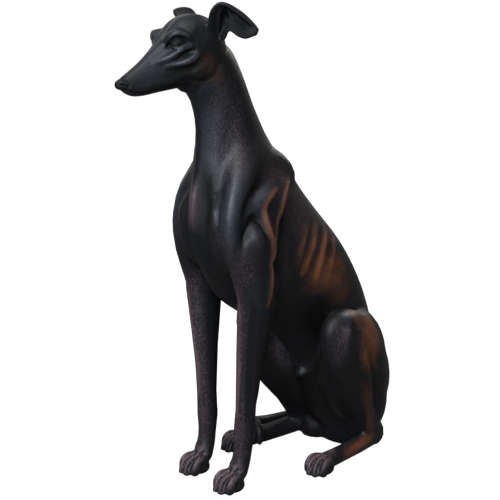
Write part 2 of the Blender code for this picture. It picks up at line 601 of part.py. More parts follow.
def stroke_share(places, normals, tree, place, radius, points):
    """Which vertices a stroke touches, and how strongly: most in its middle, less at its ends, none behind it."""
    side, forward = place
    line = spline(np.array(points, float) * (side, 1, 1) - (0, forward, 0), 4)
    found = [tree.find_nearest(p) for p in line.tolist()]
    line = np.array([f[0] for f in found])
    facing = np.array([f[1] for f in found])
    near = np.flatnonzero(((places > line.min(0) - radius) & (places < line.max(0) + radius)).all(1))
    apart, along, which = reach(places[near], line)
    share = np.clip(1 - (apart / radius) ** 2, 0, None) ** 2
    length = np.linalg.norm(np.diff(line, axis=0), axis=1).sum()
    taper = min(2 * radius, length / 3) + 1e-6
    share *= np.clip(0.35 + 0.65 * np.minimum(along, length - along) / taper, 0, 1)
    share *= np.clip((normals[near] * facing[which]).sum(1) * 3, 0, 1)
    return near, share


def carve(figure, strokes):
    """Raises or sinks the surface along each stroke."""
    places, normals = surface_of(figure)
    tree = BVHTree.FromPolygons(places.tolist(), [tuple(p.vertices) for p in figure.data.polygons])
    moved = places.copy()
    for where, radius, height, *points in strokes:
        for place in where:
            near, share = stroke_share(places, normals, tree, place, radius, points)
            moved[near] += normals[near] * (share * height)[:, None]
    figure.data.vertices.foreach_set("co", (moved * UNIT).ravel())
    figure.data.update()


def sole_cut(figure):
    """Cuts the figure flat on the floor and closes the cuts."""
    shape = bmesh.new()
    shape.from_mesh(figure.data)
    whole = shape.verts[:] + shape.edges[:] + shape.faces[:]
    bmesh.ops.bisect_plane(shape, geom=whole, dist=1e-6, plane_co=(0, 0, 0), plane_no=(0, 0, 1), clear_inner=True)
    bmesh.ops.holes_fill(shape, edges=[e for e in shape.edges if e.is_boundary])
    bmesh.ops.triangulate(shape, faces=shape.faces[:])
    shape.to_mesh(figure.data)
    shape.free()


def keep_largest(figure):
    """Leaves only the largest connected piece of the mesh."""
    shape = bmesh.new()
    shape.from_mesh(figure.data)
    left = set(shape.verts)
    pieces = []
    while left:
        queue = [left.pop()]
        piece = list(queue)
        while queue:
            for edge in queue.pop().link_edges:
                for vert in edge.verts:
                    if vert in left:
                        left.remove(vert)
                        queue.append(vert)
                        piece.append(vert)
        pieces.append(piece)
    pieces.sort(key=len)
    for piece in pieces[:-1]:
        bmesh.ops.delete(shape, geom=piece, context="VERTS")
    shape.to_mesh(figure.data)
    shape.free()


def thin_out(figure, triangles):
    """Fewer triangles, with more of them left on the head, the ears and the paws."""
    group = figure.vertex_groups.new(name="plain")
    for vert in figure.data.vertices:
        x, y, z = vert.co / UNIT
        fine = z > 82 or (-1 < z < 5 and y < 16)
        group.add([vert.index], FINE_SHARE if fine else 1.0, "REPLACE")
    thin = figure.modifiers.new("thin", "DECIMATE")
    thin.ratio = triangles / sum(len(face.vertices) - 2 for face in figure.data.polygons)
    thin.vertex_group = group.name
    thin.vertex_group_factor = 1.0
    thin.use_collapse_triangulate = True
    apply_modifiers(figure)
    figure.vertex_groups.clear()


def centre_on_floor(figure):
    """Puts the middle of the figure's box over the origin, with the soles at z = 0."""
    places = np.array([v.co for v in figure.data.vertices])
    middle = (places.min(0) + places.max(0)) / 2
    figure.data.transform(Matrix.Translation((-middle[0], -middle[1], -places[:, 2].min())))


def patina():
    """Cast resin painted as dark bronze."""
    look = bpy.data.materials.new("patina")
    look.use_nodes = True
    shader = look.node_tree.nodes["Principled BSDF"]
    shader.inputs["Base Color"].default_value = (0.035, 0.033, 0.034, 1)
    shader.inputs["Roughness"].default_value = 0.42
    shader.inputs["Metallic"].default_value = 0.0
    return look


def main():
    for old in list(bpy.data.objects):
        bpy.data.objects.remove(old)
    figure = fused(lay_clay(), HEIGHT / CLAY_GRAINS)
    keep_largest(figure)
    soften(figure, BROAD_SOFTENING)
    carve(figure, MUSCLES + HAUNCHES)
    soften(figure, MUSCLE_SOFTENING)
    carve(figure, CORDS)
    soften(figure, CORD_SOFTENING)
    carve(figure, FORELEGS + FACE + toe_grooves())
    thin_out(figure, SOLID_TRIANGLES)
    sole_cut(figure)
    centre_on_floor(figure)
    figure.data.materials.append(patina())
    return figure


if __name__ == "__main__":
    main()
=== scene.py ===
"""Looks of the seated greyhound: the cast figure, carved finer than its solid, and its worn dark paint.

The figure is laid up and carved as its solid is, in hundredths of its own height, on a finer grain and with
finer strokes. Where the paint is rubbed, and where shade and highlights are painted into it, is laid on with
strokes too, and kept as attributes of the skin.
"""

import math

import bmesh
import bpy
import numpy as np
from mathutils import Matrix, Vector
from mathutils.bvhtree import BVHTree
from mathutils.kdtree import KDTree


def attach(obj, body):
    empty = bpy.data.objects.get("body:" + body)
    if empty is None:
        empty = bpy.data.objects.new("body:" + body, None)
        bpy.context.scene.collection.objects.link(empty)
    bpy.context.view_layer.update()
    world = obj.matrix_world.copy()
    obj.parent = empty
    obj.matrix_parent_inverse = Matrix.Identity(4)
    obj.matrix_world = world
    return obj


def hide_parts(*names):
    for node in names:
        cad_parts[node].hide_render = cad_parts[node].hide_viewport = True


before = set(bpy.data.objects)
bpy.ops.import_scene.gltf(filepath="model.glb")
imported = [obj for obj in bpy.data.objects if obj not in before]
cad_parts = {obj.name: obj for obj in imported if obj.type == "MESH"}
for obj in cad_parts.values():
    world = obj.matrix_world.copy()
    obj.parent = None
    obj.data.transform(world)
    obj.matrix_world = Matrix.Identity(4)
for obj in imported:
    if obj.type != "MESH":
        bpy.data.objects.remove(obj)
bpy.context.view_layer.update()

# Driving dimension, in metres: from the floor to the top of the raised ear.
HEIGHT = 0.76

# How fine the clay is: grains in the height, and triangles left in the skin.
CLAY_GRAINS = 450
SKIN_TRIANGLES = 196000
FINE_SHARE = 0.97

# Where more triangles are left, in hundredths of the height: above this for the head, and between these
# heights and before this place for the paws.
HEAD_FROM = 82
PAWS_FROM = -1
PAWS_TO = 5
PAWS_BEFORE = 16

# How often the clay is smoothed: as it sets, and after each layer of modelling.
GRAIN_SHARE = (CLAY_GRAINS / 270) ** 2
SETTLING = round(9 * GRAIN_SHARE)
BROAD_SOFTENING = round(30 * GRAIN_SHARE)
MUSCLE_SOFTENING = round(8 * GRAIN_SHARE)
CORD_SOFTENING = round(2 * GRAIN_SHARE)

# One hundredth of the height: every place and radius of the figure below is given in it.
UNIT = HEIGHT / 100

# Pose of the hind legs: how far forward of the left one each sits, and where hock and toes are,
# from the middle.
HIND_LEGS = {
    1: {"forward": 0.0, "hock": 9.2, "toes": 12.1, "splay": 8},
    -1: {"forward": 6.0, "hock": 8.4, "toes": 9.6, "splay": 4},
}

LEFT = 1
RIGHT = -1

# Where a stroke is laid: the side, and how far forward of its written place.
ONCE = ((LEFT, 0),)
BOTH = ((LEFT, 0), (RIGHT, 0))
HIND = tuple((side, pose["forward"]) for side, pose in HIND_LEGS.items())

# Trunk and neck, from the nape to the seat. Each row is one section:
# spine y, spine z, underside y, underside z, half width, where the section is widest (0 spine, 1 underside).
TRUNK = (
    (-8.6, 93.0, -15.8, 86.8, 3.0, 0.5),
    (-5.6, 91.4, -15.7, 83.4, 4.2, 0.5),
    (-3.0, 86.8, -13.9, 80.4, 4.6, 0.48),
    (-0.2, 80.6, -13.3, 75.6, 4.9, 0.46),
    (2.4, 75.6, -13.5, 70.6, 5.4, 0.46),
    (4.9, 71.8, -14.2, 65.2, 6.2, 0.5),
    (8.2, 68.2, -14.7, 60.0, 7.0, 0.55),
    (11.0, 64.4, -14.5, 54.4, 7.5, 0.55),
    (14.4, 60.2, -12.4, 47.8, 7.8, 0.52),
    (18.8, 55.4, -8.8, 41.2, 8.2, 0.5),
    (23.4, 50.4, -4.0, 37.0, 8.6, 0.48),
    (27.6, 44.8, 2.6, 32.8, 8.4, 0.46),
    (31.2, 39.0, 8.4, 28.4, 7.4, 0.45),
    (34.0, 33.4, 12.4, 23.6, 6.6, 0.45),
    (35.8, 26.8, 15.0, 18.6, 6.8, 0.45),
    (36.2, 19.6, 17.4, 13.2, 7.4, 0.45),
    (35.2, 12.4, 19.6, 8.0, 7.8, 0.5),
    (33.2, 5.6, 23.0, 3.6, 7.9, 0.55),
    (31.4, -0.8, 24.6, -1.0, 7.2, 0.6),
    (29.6, -3.0, 25.8, -3.0, 4.0, 0.5),
)

# Head, from the nape to the nose: top y, top z, bottom y, bottom z, half width, widest place.
HEAD = (
    (-6.6, 91.4, -9.4, 86.6, 2.4, 0.5),
    (-8.4, 95.2, -11.6, 85.8, 4.0, 0.45),
    (-11.6, 97.5, -14.2, 84.8, 4.9, 0.42),
    (-15.2, 98.0, -16.4, 84.2, 5.0, 0.40),
    (-18.6, 97.0, -18.4, 83.9, 4.45, 0.42),
    (-21.2, 94.7, -20.6, 83.6, 3.2, 0.5),
    (-23.7, 91.9, -23.0, 83.3, 2.45, 0.55),
    (-26.4, 89.5, -25.6, 82.9, 2.1, 0.58),
    (-29.0, 87.7, -27.9, 82.8, 1.8, 0.58),
    (-31.0, 86.4, -29.5, 83.2, 1.5, 0.55),
    (-31.9, 85.4, -30.6, 84.0, 0.8, 0.5),
)


def spline(rows, steps):
    """Rows of numbers made finer by a Catmull-Rom curve, with this many steps between two rows."""
    rows = np.asarray(rows, float)
    padded = np.vstack([2 * rows[0] - rows[1], rows, 2 * rows[-1] - rows[-2]])
    fine = []
    for a, b, c, d in zip(padded, padded[1:], padded[2:], padded[3:]):
        for t in np.arange(steps) / steps:
            fine.append(
                0.5
                * (
                    2 * b
                    + (c - a) * t
                    + (2 * a - 5 * b + 4 * c - d) * t**2
                    + (3 * b - a - 3 * c + d) * t**3
                )
            )
    fine.append(rows[-1])
    return np.array(fine)


def skin(clay, rings):
    """Adds one closed tube through the rings, each an array of points, with a pole at either end."""
    count = len(rings[0])
    verts = [[clay.verts.new(p) for p in ring] for ring in rings]
    for here, there in zip(verts, verts[1:]):
        for i in range(count):
            j = (i + 1) % count
            clay.faces.new((here[i], here[j], there[j], there[i]))
    for ring, turn in ((verts[0], -1), (verts[-1], 1)):
        pole = clay.verts.new(sum((v.co for v in ring), Vector()) / count)
        for i in range(count):
            corner = (ring[i], ring[(i + 1) % count], pole)
            clay.faces.new(corner[::turn])


def egg_ring(top, bottom, half_width, widest, points=40):
    """One section across the middle plane: two half ellipses that meet where it is widest."""
    top = np.array((0, *top))
    bottom = np.array((0, *bottom))
    middle = top + (bottom - top) * widest
    ring = []
    for angle in np.arange(points) * 2 * math.pi / points:
        pole = top if math.cos(angle) > 0 else bottom
        ring.append(
            middle
            + (pole - middle) * abs(math.cos(angle))
            + np.array((half_width * math.sin(angle), 0, 0))
        )
    return ring


def sections(clay, rows, steps=4):
    """A mass across the middle plane, skinned over its rows of sections."""
    skin(clay, [egg_ring(r[0:2], r[2:4], max(r[4], 0.2), r[5]) for r in spline(rows, steps)])


def limb(clay, rows, side=LEFT, steps=5, points=24, across=(1, 0, 0)):
    """A tapering limb. Each row is x, y, z, half width along "across", half depth; x is for the left."""
    fine = spline(rows, steps)
    fine[:, 0] *= side
    tangents = np.gradient(fine[:, :3], axis=0)
    rings = []
    angles = np.arange(points) * 2 * math.pi / points
    for row, tangent in zip(fine, tangents):
        tangent = Vector(tangent).normalized()
        wide = Vector(across) - tangent * tangent.dot(Vector(across))
        wide.normalize()
        deep = tangent.cross(wide)
        ring = [
            row[:3] + np.array(wide) * row[3] * math.cos(a) + np.array(deep) * row[4] * math.sin(a)
            for a in angles
        ]
        rings.append(ring)
    ends = [rounded_end(rings, fine, first) for first in (True, False)]
    skin(clay, ends[0] + rings + ends[1])


def rounded_end(rings, rows, first):
    """Smaller rings that round off a limb's end."""
    ring, near = (rings[0], rings[1]) if first else (rings[-1], rings[-2])
    ring, near = np.array(ring), np.array(near)
    centre = ring.mean(0)
    away = centre - near.mean(0)
    away /= np.linalg.norm(away)
    reach = min(rows[0 if first else -1][3:5])
    caps = []
    for angle in (30, 55, 78):
        turn = math.radians(angle)
        caps.append(list(centre + (ring - centre) * math.cos(turn) + away * reach * math.sin(turn)))
    return caps[::-1] if first else caps


def lump(clay, centre, radii, side=LEFT, turn=(0, 0, 0)):
    """An ellipsoid. turn is in degrees about X, Y and Z; centre and turn are given for the left."""
    x, y, z = (math.radians(t) for t in turn)
    spin = Matrix.Rotation(z * side, 4, "Z") @ Matrix.Rotation(y * side, 4, "Y") @ Matrix.Rotation(x, 4, "X")
    place = Matrix.Translation((centre[0] * side, centre[1], centre[2])) @ spin @ Matrix.Diagonal((*radii, 1))
    bmesh.ops.create_icosphere(clay, subdivisions=4, radius=1, matrix=place)


def shoulder(clay, side):
    """Shoulder blade, the long muscle from the neck over the shoulder, upper arm, triceps and elbow."""
    lump(clay, (3.0, 5.2, 66.7), (2.6, 5.8, 3.0), side, turn=(-42, 0, 0))
    limb(clay, (
        (4.4, 3.2, 65.0, 2.3, 4.2),
        (6.2, -0.6, 61.0, 2.5, 5.0),
        (7.4, -4.6, 57.2, 2.3, 4.6),
    ), side, across=(1, 0, 0.3))
    limb(clay, (
        (4.0, -3.6, 74.0, 1.5, 3.0),
        (5.2, -5.6, 69.0, 2.0, 3.6),
        (6.7, -8.4, 63.0, 2.2, 3.7),
        (7.8, -9.6, 57.0, 2.3, 3.9),
        (8.5, -8.8, 51.6, 2.45, 4.2),
        (8.7, -6.8, 46.6, 2.6, 4.4),
        (8.5, -5.4, 42.0, 2.6, 4.2),
    ), side)
    lump(clay, (8.6, -4.2, 53.0), (2.3, 3.7, 6.6), side, turn=(-14, 0, 0))
    lump(clay, (8.2, -0.8, 43.6), (1.6, 2.2, 3.4), side)


def foreleg(clay, side):
    """Forearm, wrist and pastern down to the paw."""
    limb(clay, (
        (8.5, -5.4, 46.6, 2.8, 4.4),
        (8.7, -5.3, 41.6, 3.0, 4.4),
        (8.3, -5.5, 36.8, 2.8, 4.0),
        (7.6, -5.9, 31.0, 2.45, 3.3),
        (7.0, -6.2, 24.0, 2.1, 2.65),
        (6.6, -6.4, 17.0, 2.0, 2.3),
        (6.3, -6.5, 12.6, 2.15, 2.35),
        (6.2, -6.7, 9.0, 1.95, 2.0),
        (6.1, -7.2, 6.0, 2.0, 2.0),
        (6.0, -8.2, 3.6, 2.3, 2.2),
    ), side)


def on_paw(at, splay, x, y, z):
    """A place on a paw, given as if it pointed straight ahead. at is the middle of the sole."""
    turn = math.radians(splay)
    return (
        at[0] + x * math.cos(turn) - y * math.sin(turn),
        at[1] + x * math.sin(turn) + y * math.cos(turn),
        z,
    )


def paw(clay, side, at, splay, length=7.0, width=5.5):
    """Four arched toes with their nails, in front of a heel pad. at is the middle of the sole."""
    def place(x, y, z):
        return on_paw(at, splay, x, y, z)

    across = (math.cos(math.radians(splay)), math.sin(math.radians(splay)) * side, 0)
    reach = length / 2
    for share, back in ((-0.74, 1.2), (-0.26, 0.0), (0.26, 0.0), (0.74, 1.2)):
        x = share * width / 2
        limb(clay, (
            (*place(x * 0.75, reach * 0.45, 2.9), 0.95, 1.0),
            (*place(x * 0.95, -reach * 0.15 + back * 0.3, 3.0), 0.9, 1.1),
            (*place(x * 1.05, -reach * 0.55 + back * 0.7, 2.1), 0.92, 1.15),
            (*place(x * 1.05, -reach + 1.0 + back, 0.8), 0.88, 1.1),
        ), side, points=16, across=across)
        limb(clay, (
            (*place(x * 1.05, -reach + 0.9 + back, 1.2), 0.42, 0.45),
            (*place(x * 1.08, -reach + 0.4 + back, 0.9), 0.38, 0.42),
            (*place(x * 1.08, -reach + 0.1 + back, 0.5), 0.3, 0.32),
        ), side, points=10, across=across)
    x, y, z = place(0, reach * 0.3, 0.9)
    lump(clay, (x, y, z), (width * 0.46, reach * 0.8, 1.7), side, turn=(0, 0, splay))


def hind_leg(clay, side):
    """Haunch, knee, shin, hock and the foot that lies along the floor."""
    pose = HIND_LEGS[side]
    forward, hock, toes = pose["forward"], pose["hock"], pose["toes"]
    lump(clay, (6.6, 25.6 - 0.5 * forward, 18.4), (6.0, 9.6, 13.0), side, turn=(24, 0, 0))
    lump(clay, (5.0, 28.6 - 0.3 * forward, 23.6), (5.8, 6.2, 10.0), side, turn=(20, 0, 0))
    lump(clay, (7.4, 28.4 - 0.7 * forward, 12.0), (4.4, 6.0, 9.4), side, turn=(6, 0, 0))
    limb(clay, (
        (6.4, 28.0 - 0.5 * forward, 22.0, 4.4, 6.0),
        (8.2, 23.6 - 0.7 * forward, 26.8, 4.2, 6.2),
        (9.6, 19.0 - 0.9 * forward, 30.0, 3.6, 5.0),
        (10.4, 15.6 - forward, 31.4, 2.9, 3.6),
    ), side)
    lump(clay, (10.6, 14.6 - forward, 31.0), (2.4, 2.7, 3.3), side, turn=(-20, 0, 0))
    limb(clay, (
        (10.5, 14.6 - forward, 30.4, 2.6, 3.0),
        (10.4, 16.6 - forward, 24.6, 2.7, 3.8),
        (10.0, 20.4 - forward, 17.6, 2.6, 3.8),
        (hock + 0.4, 24.6 - forward, 11.0, 2.0, 2.9),
        (hock + 0.1, 27.2 - forward, 6.0, 1.7, 2.2),
        (hock, 28.2 - forward, 3.2, 1.8, 2.1),
    ), side)
    lump(clay, (hock, 29.2 - forward, 3.4), (1.8, 1.9, 2.3), side)
    lump(clay, (hock - 3.4, 30.8 - 0.9 * forward, 2.2), (4.2, 4.4, 4.0), side)
    limb(clay, (
        (hock, 28.6 - forward, 2.2, 1.9, 2.0),
        (hock * 0.75 + toes * 0.25, 23.4 - forward, 1.9, 1.9, 1.9),
        (hock * 0.5 + toes * 0.5, 18.0 - forward, 1.8, 1.9, 1.85),
        (hock * 0.25 + toes * 0.75, 13.4 - forward, 1.9, 2.0, 1.9),
        (toes - 0.2, 10.8 - forward, 2.0, 2.2, 1.8),
    ), side)


def face(clay, side):
    """Brow, eyeball, cheekbone, cheek and lip on one side of the head."""
    lump(clay, (3.3, -20.2, 92.3), (1.15, 1.35, 1.05), side)
    lump(clay, (2.7, -19.6, 93.4), (1.6, 2.6, 1.9), side)
    limb(clay, (
        (1.6, -21.6, 92.9, 0.7, 0.9),
        (2.7, -21.2, 93.9, 0.9, 0.95),
        (3.6, -20.2, 94.1, 0.9, 1.0),
        (4.0, -18.8, 93.7, 0.8, 1.0),
        (4.0, -17.2, 93.0, 0.6, 0.9),
    ), side, points=14)
    limb(clay, (
        (1.6, -24.4, 88.9, 0.6, 0.6),
        (2.6, -21.8, 90.0, 0.75, 0.75),
        (3.6, -19.6, 91.0, 0.8, 0.75),
        (4.1, -17.9, 91.8, 0.6, 0.6),
    ), side, points=14)
    limb(clay, (
        (2.6, -22.0, 88.4, 0.7, 0.7),
        (3.5, -19.6, 88.8, 0.85, 0.8),
        (4.2, -17.4, 89.7, 0.85, 0.8),
        (4.5, -15.2, 91.0, 0.6, 0.7),
    ), side, points=14)
    lump(clay, (3.3, -14.4, 88.6), (1.5, 3.4, 3.2), side)
    limb(clay, (
        (1.15, -29.2, 84.4, 0.5, 0.8),
        (1.6, -26.4, 84.6, 0.6, 1.0),
        (2.0, -23.0, 85.2, 0.6, 1.0),
        (2.6, -19.6, 86.0, 0.5, 0.8),
    ), side, points=12)


def ear(clay, side):
    """A cupped ear that stands up at its root and is blown outwards and back to a rounded tip."""
    out, droop = (0.0, 0.0) if side == LEFT else (1.6, 1.4)
    upper = spline((
        (4.0, -13.8, 95.4), (5.3 + out, -13.8, 98.7 - droop / 2), (6.6 + out, -12.4, 100.1 - droop),
        (8.1, -10.0, 98.6), (9.2, -8.0, 96.8), (10.0, -6.2, 94.9)), 5)
    deep = spline((
        (3.6, -9.8, 94.4), (4.4, -9.8, 96.4), (5.7, -9.6, 97.8),
        (7.3, -8.4, 97.2), (8.6, -7.0, 95.8), (9.9, -5.9, 94.5)), 5)
    lower = spline((
        (5.2, -11.2, 92.6), (6.0, -10.9, 94.2), (6.8, -10.5, 94.8),
        (8.0, -9.6, 93.7), (9.1, -8.2, 93.2), (10.1, -6.4, 94.2)), 5)
    across = 21
    thick = 0.6
    sheet = np.empty((len(upper), across, 3))
    for i, t in enumerate(np.linspace(0, 1, across)):
        middle = 2 * deep - (upper + lower) / 2
        sheet[:, i] = (1 - t) ** 2 * upper + 2 * t * (1 - t) * middle + t**2 * lower
    sheet[..., 0] *= side
    along = np.gradient(sheet, axis=0)
    over = np.gradient(sheet, axis=1)
    normal = np.cross(along, over)
    normal /= np.linalg.norm(normal, axis=2, keepdims=True) + 1e-9
    rings = []
    rim = np.sqrt(1 - np.abs(np.linspace(-0.97, 0.97, across)) ** 5)[:, None] * thick * side
    for row, out in zip(sheet, normal):
        front = row + out * rim
        back = row - out * rim
        rings.append(list(front) + list(back[::-1]))
    skin(clay, rings if side > 0 else [r[::-1] for r in rings])


def tail(clay):
    """The tail lies on the floor round the right side, and its end hangs over the right foot."""
    limb(clay, (
        (0.0, 33.0, 6.0, 2.0, 2.0),
        (-1.6, 36.2, 2.8, 1.7, 1.7),
        (-6.0, 36.6, 1.5, 1.5, 1.5),
        (-11.0, 33.4, 1.3, 1.35, 1.35),
        (-14.6, 27.0, 1.2, 1.25, 1.25),
        (-15.8, 20.0, 1.3, 1.2, 1.2),
        (-14.9, 14.4, 2.6, 1.15, 1.15),
        (-12.0, 11.2, 4.3, 1.1, 1.1),
        (-9.0, 9.9, 5.0, 1.05, 1.05),
        (-7.0, 9.0, 4.0, 0.95, 0.95),
        (-6.3, 8.5, 1.6, 0.8, 0.8),
    ), across=(0.3, 0.3, 1))


def lay_clay():
    """All the masses of the figure, overlapping, in one mesh."""
    clay = bmesh.new()
    sections(clay, TRUNK)
    sections(clay, HEAD)
    # Breastbone and throat.
    lump(clay, (0, -13.3, 57.2), (1.7, 1.9, 3.4), turn=(-4, 0, 0))
    lump(clay, (0, -15.6, 84.9), (3.0, 2.8, 2.0), turn=(-12, 0, 0))
    for side in (LEFT, RIGHT):
        shoulder(clay, side)
        foreleg(clay, side)
        hind_leg(clay, side)
        lump(clay, (4.6, -9.8, 54.6), (3.2, 4.2, 8.6), side, turn=(10, 0, 0))
        face(clay, side)
        ear(clay, side)
    for side, at, splay in paws():
        paw(clay, side, at, splay)
    lump(clay, (0, 28.8, 3.0), (7.8, 5.2, 8.0))
    # Nose and sheath.
    lump(clay, (0, -31.2, 85.2), (1.25, 0.95, 1.0))
    limb(clay, ((0.2, 17.6, 24.0, 1.5, 1.5), (0.4, 16.2, 21.4, 1.4, 1.4), (0.6, 15.0, 19.3, 1.6, 1.6)))
    tail(clay)
    bmesh.ops.recalc_face_normals(clay, faces=clay.faces)
    return clay


def fused(clay, voxel):
    """The clay as one object, remeshed to a single skin."""
    mesh = bpy.data.meshes.new("greyhound")
    bmesh.ops.scale(clay, vec=(UNIT, UNIT, UNIT), verts=clay.verts)
    clay.to_mesh(mesh)
    clay.free()
    figure = bpy.data.objects.new("greyhound", mesh)
    bpy.context.scene.collection.objects.link(figure)
    remesh = figure.modifiers.new("fuse", "REMESH")
    remesh.mode = "VOXEL"
    remesh.voxel_size = voxel
    smooth = figure.modifiers.new("settle", "SMOOTH")
    smooth.factor = 0.5
    smooth.iterations = SETTLING
    apply_modifiers(figure)
    return figure


def ramp(value, low, high):
    """0 below low, 1 above high, and a smooth rise between them."""
    share = min(max((value - low) / (high - low), 0), 1)
    return share * share * (3 - 2 * share)


def soften(figure, iterations):
    """Softens the joins between trunk and haunches, and leaves head, ears, legs and paws crisp."""
    group = figure.vertex_groups.new(name="broad")
    for vert in figure.data.vertices:
        y, z = vert.co.y / UNIT, vert.co.z / UNIT
        trunk = ramp(z, 44 - 0.5 * max(y, 0), 50 - 0.5 * max(y, 0)) * ramp(-z, -84, -78)
        haunch = ramp(y, 15, 19) * ramp(z, 9, 14)
        group.add([vert.index], max(trunk, haunch * 0.5), "REPLACE")
    smooth = figure.modifiers.new("soften", "SMOOTH")
    smooth.factor = 0.5
    smooth.iterations = iterations
    smooth.vertex_group = group.name
    apply_modifiers(figure)
    figure.vertex_groups.clear()


def apply_modifiers(figure):
    """The object's mesh as its modifiers leave it."""
    graph = bpy.context.evaluated_depsgraph_get()
    made = bpy.data.meshes.new_from_object(figure.evaluated_get(graph))
    figure.modifiers.clear()
    figure.data = made


# Carving. Each stroke is where it is laid, its radius, its height (sunk where below zero), and its line,
# for the left.
MUSCLES = (
    # Broad muscle from the neck over the shoulder, and the shallow groove before it.
    (BOTH, 3.4, 0.55, (5.3, -0.9, 71.1), (7.0, -5.8, 68.5), (7.7, -8.8, 66.1), (8.3, -10.6, 62.6),
     (8.8, -11.6, 58.6), (9.2, -12.0, 54.8)),
    (BOTH, 1.9, -0.40, (7.0, -8.0, 68.4), (6.8, -11.0, 65.2), (6.4, -12.2, 61.7), (6.4, -12.9, 58.4)),
    # The forked groove behind it.
    (BOTH, 2.0, -0.95, (6.5, -0.8, 65.5), (6.9, -2.8, 64.1), (7.9, -5.8, 62.7), (8.8, -8.1, 60.9),
     (9.3, -9.4, 58.3), (9.8, -10.3, 54.8), (10.1, -11.0, 51.6)),
    (BOTH, 1.4, -0.80, (9.8, -9.8, 54.8), (9.9, -8.7, 56.6), (9.5, -7.2, 57.8), (9.3, -5.5, 58.4),
     (9.4, -4.4, 57.0), (10.2, -3.9, 54.2)),
    # Behind the fork: the lobe above, the triceps below.
    (BOTH, 2.2, 0.50, (7.6, -2.6, 63.4), (8.2, -4.4, 61.6), (8.6, -6.1, 59.8)),
    (BOTH, 3.0, 0.90, (9.6, -7.0, 56.4), (10.3, -6.6, 54.0), (10.6, -6.2, 50.6)),
    # Between the arm and the ribs.
    (BOTH, 1.8, -0.75, (6.7, 4.8, 59.3), (7.4, 3.3, 56.4), (7.6, 2.4, 52.3), (7.9, 1.6, 48.9),
     (8.2, 0.9, 45.2), (8.4, 0.2, 42.0)),
    # Breastbone, the valleys beside it, and the long grooves of the neck.
    (ONCE, 1.8, 0.75, (0, -13.8, 66.0), (0, -14.4, 62.0), (0, -14.8, 58.0), (0, -14.6, 54.6)),
    (BOTH, 1.8, -0.55, (2.3, -13.8, 67.0), (3.0, -14.2, 62.1), (3.4, -14.4, 58.6)),
    (BOTH, 0.9, 0.30, (5.0, -13.2, 60.6), (5.6, -13.6, 57.4)),
    (BOTH, 2.2, -0.40, (4.6, -7.1, 83.4), (4.9, -8.2, 77.6), (4.9, -9.2, 72.4), (5.0, -10.4, 68.4)),
    (BOTH, 2.2, -0.40, (3.4, -12.0, 82.0), (2.8, -12.6, 77.7), (2.3, -12.8, 71.8), (2.6, -13.2, 68.0)),
    # Hollow in front of the haunch.
    (BOTH, 2.6, -0.5, (8.2, 13.0, 36.0), (8.0, 17.0, 36.8), (7.8, 21.0, 38.0), (7.0, 26.0, 38.4)),
)

# Lines that are both carved and painted: the two cords behind the shoulder, painted rust, and the edge of
# the nose and the nostril, painted shade.
FORE_CORD = (
    (7.8, 0.7, 63.4), (9.0, -1.8, 61.9), (9.5, -3.4, 60.3), (10.1, -3.9, 58.0), (10.9, -3.3, 55.6),
    (11.3, -2.5, 53.1), (11.2, -2.2, 50.6), (11.2, -2.4, 48.2), (11.3, -3.0, 45.8), (11.7, -3.8, 43.4),
    (11.6, -4.6, 40.5),
)
REAR_CORD = (
    (6.2, 6.0, 64.6), (8.0, 3.8, 62.9), (8.6, 2.4, 60.8), (9.5, 1.0, 58.5), (10.2, -0.4, 56.0),
    (10.9, -1.6, 53.4), (11.3, -2.0, 51.0), (11.2, -2.3, 48.6),
)
NOSE_EDGE = (
    (0.2, -30.6, 86.6), (0.8, -30.8, 86.2), (1.3, -30.3, 85.8), (1.5, -30.0, 85.0), (1.2, -30.4, 84.4),
)
NOSTRIL = ((0.8, -31.7, 85.3), (1.2, -31.1, 85.2), (1.4, -30.6, 84.8))

CORDS = (
    # Two cords that run together behind the triceps, down to the elbow.
    (BOTH, 0.9, 0.55, *FORE_CORD),
    (BOTH, 0.9, 0.55, *REAR_CORD),
    # Ribs.
    (BOTH, 1.4, 0.26, (6.3, 11.4, 55.4), (6.8, 10.1, 54.2), (7.5, 8.6, 51.5), (7.9, 7.1, 48.7),
     (8.2, 6.0, 46.0)),
    (BOTH, 1.4, 0.32, (5.6, 14.6, 54.6), (6.3, 13.2, 53.2), (7.2, 11.5, 50.3), (8.3, 9.1, 47.2),
     (8.5, 7.8, 44.6)),
    (BOTH, 1.4, 0.34, (4.4, 18.2, 53.2), (5.4, 16.7, 51.7), (7.1, 14.6, 48.8), (8.5, 12.2, 45.0),
     (8.6, 11.2, 42.4)),
    (BOTH, 1.4, 0.34, (4.2, 20.8, 51.0), (5.2, 19.4, 49.5), (7.2, 17.2, 46.6), (8.4, 15.3, 42.7),
     (8.4, 14.4, 40.2)),
    (BOTH, 1.4, 0.28, (4.2, 23.0, 48.8), (5.2, 21.6, 47.4), (7.1, 20.1, 44.4), (8.2, 18.5, 40.4)),
)

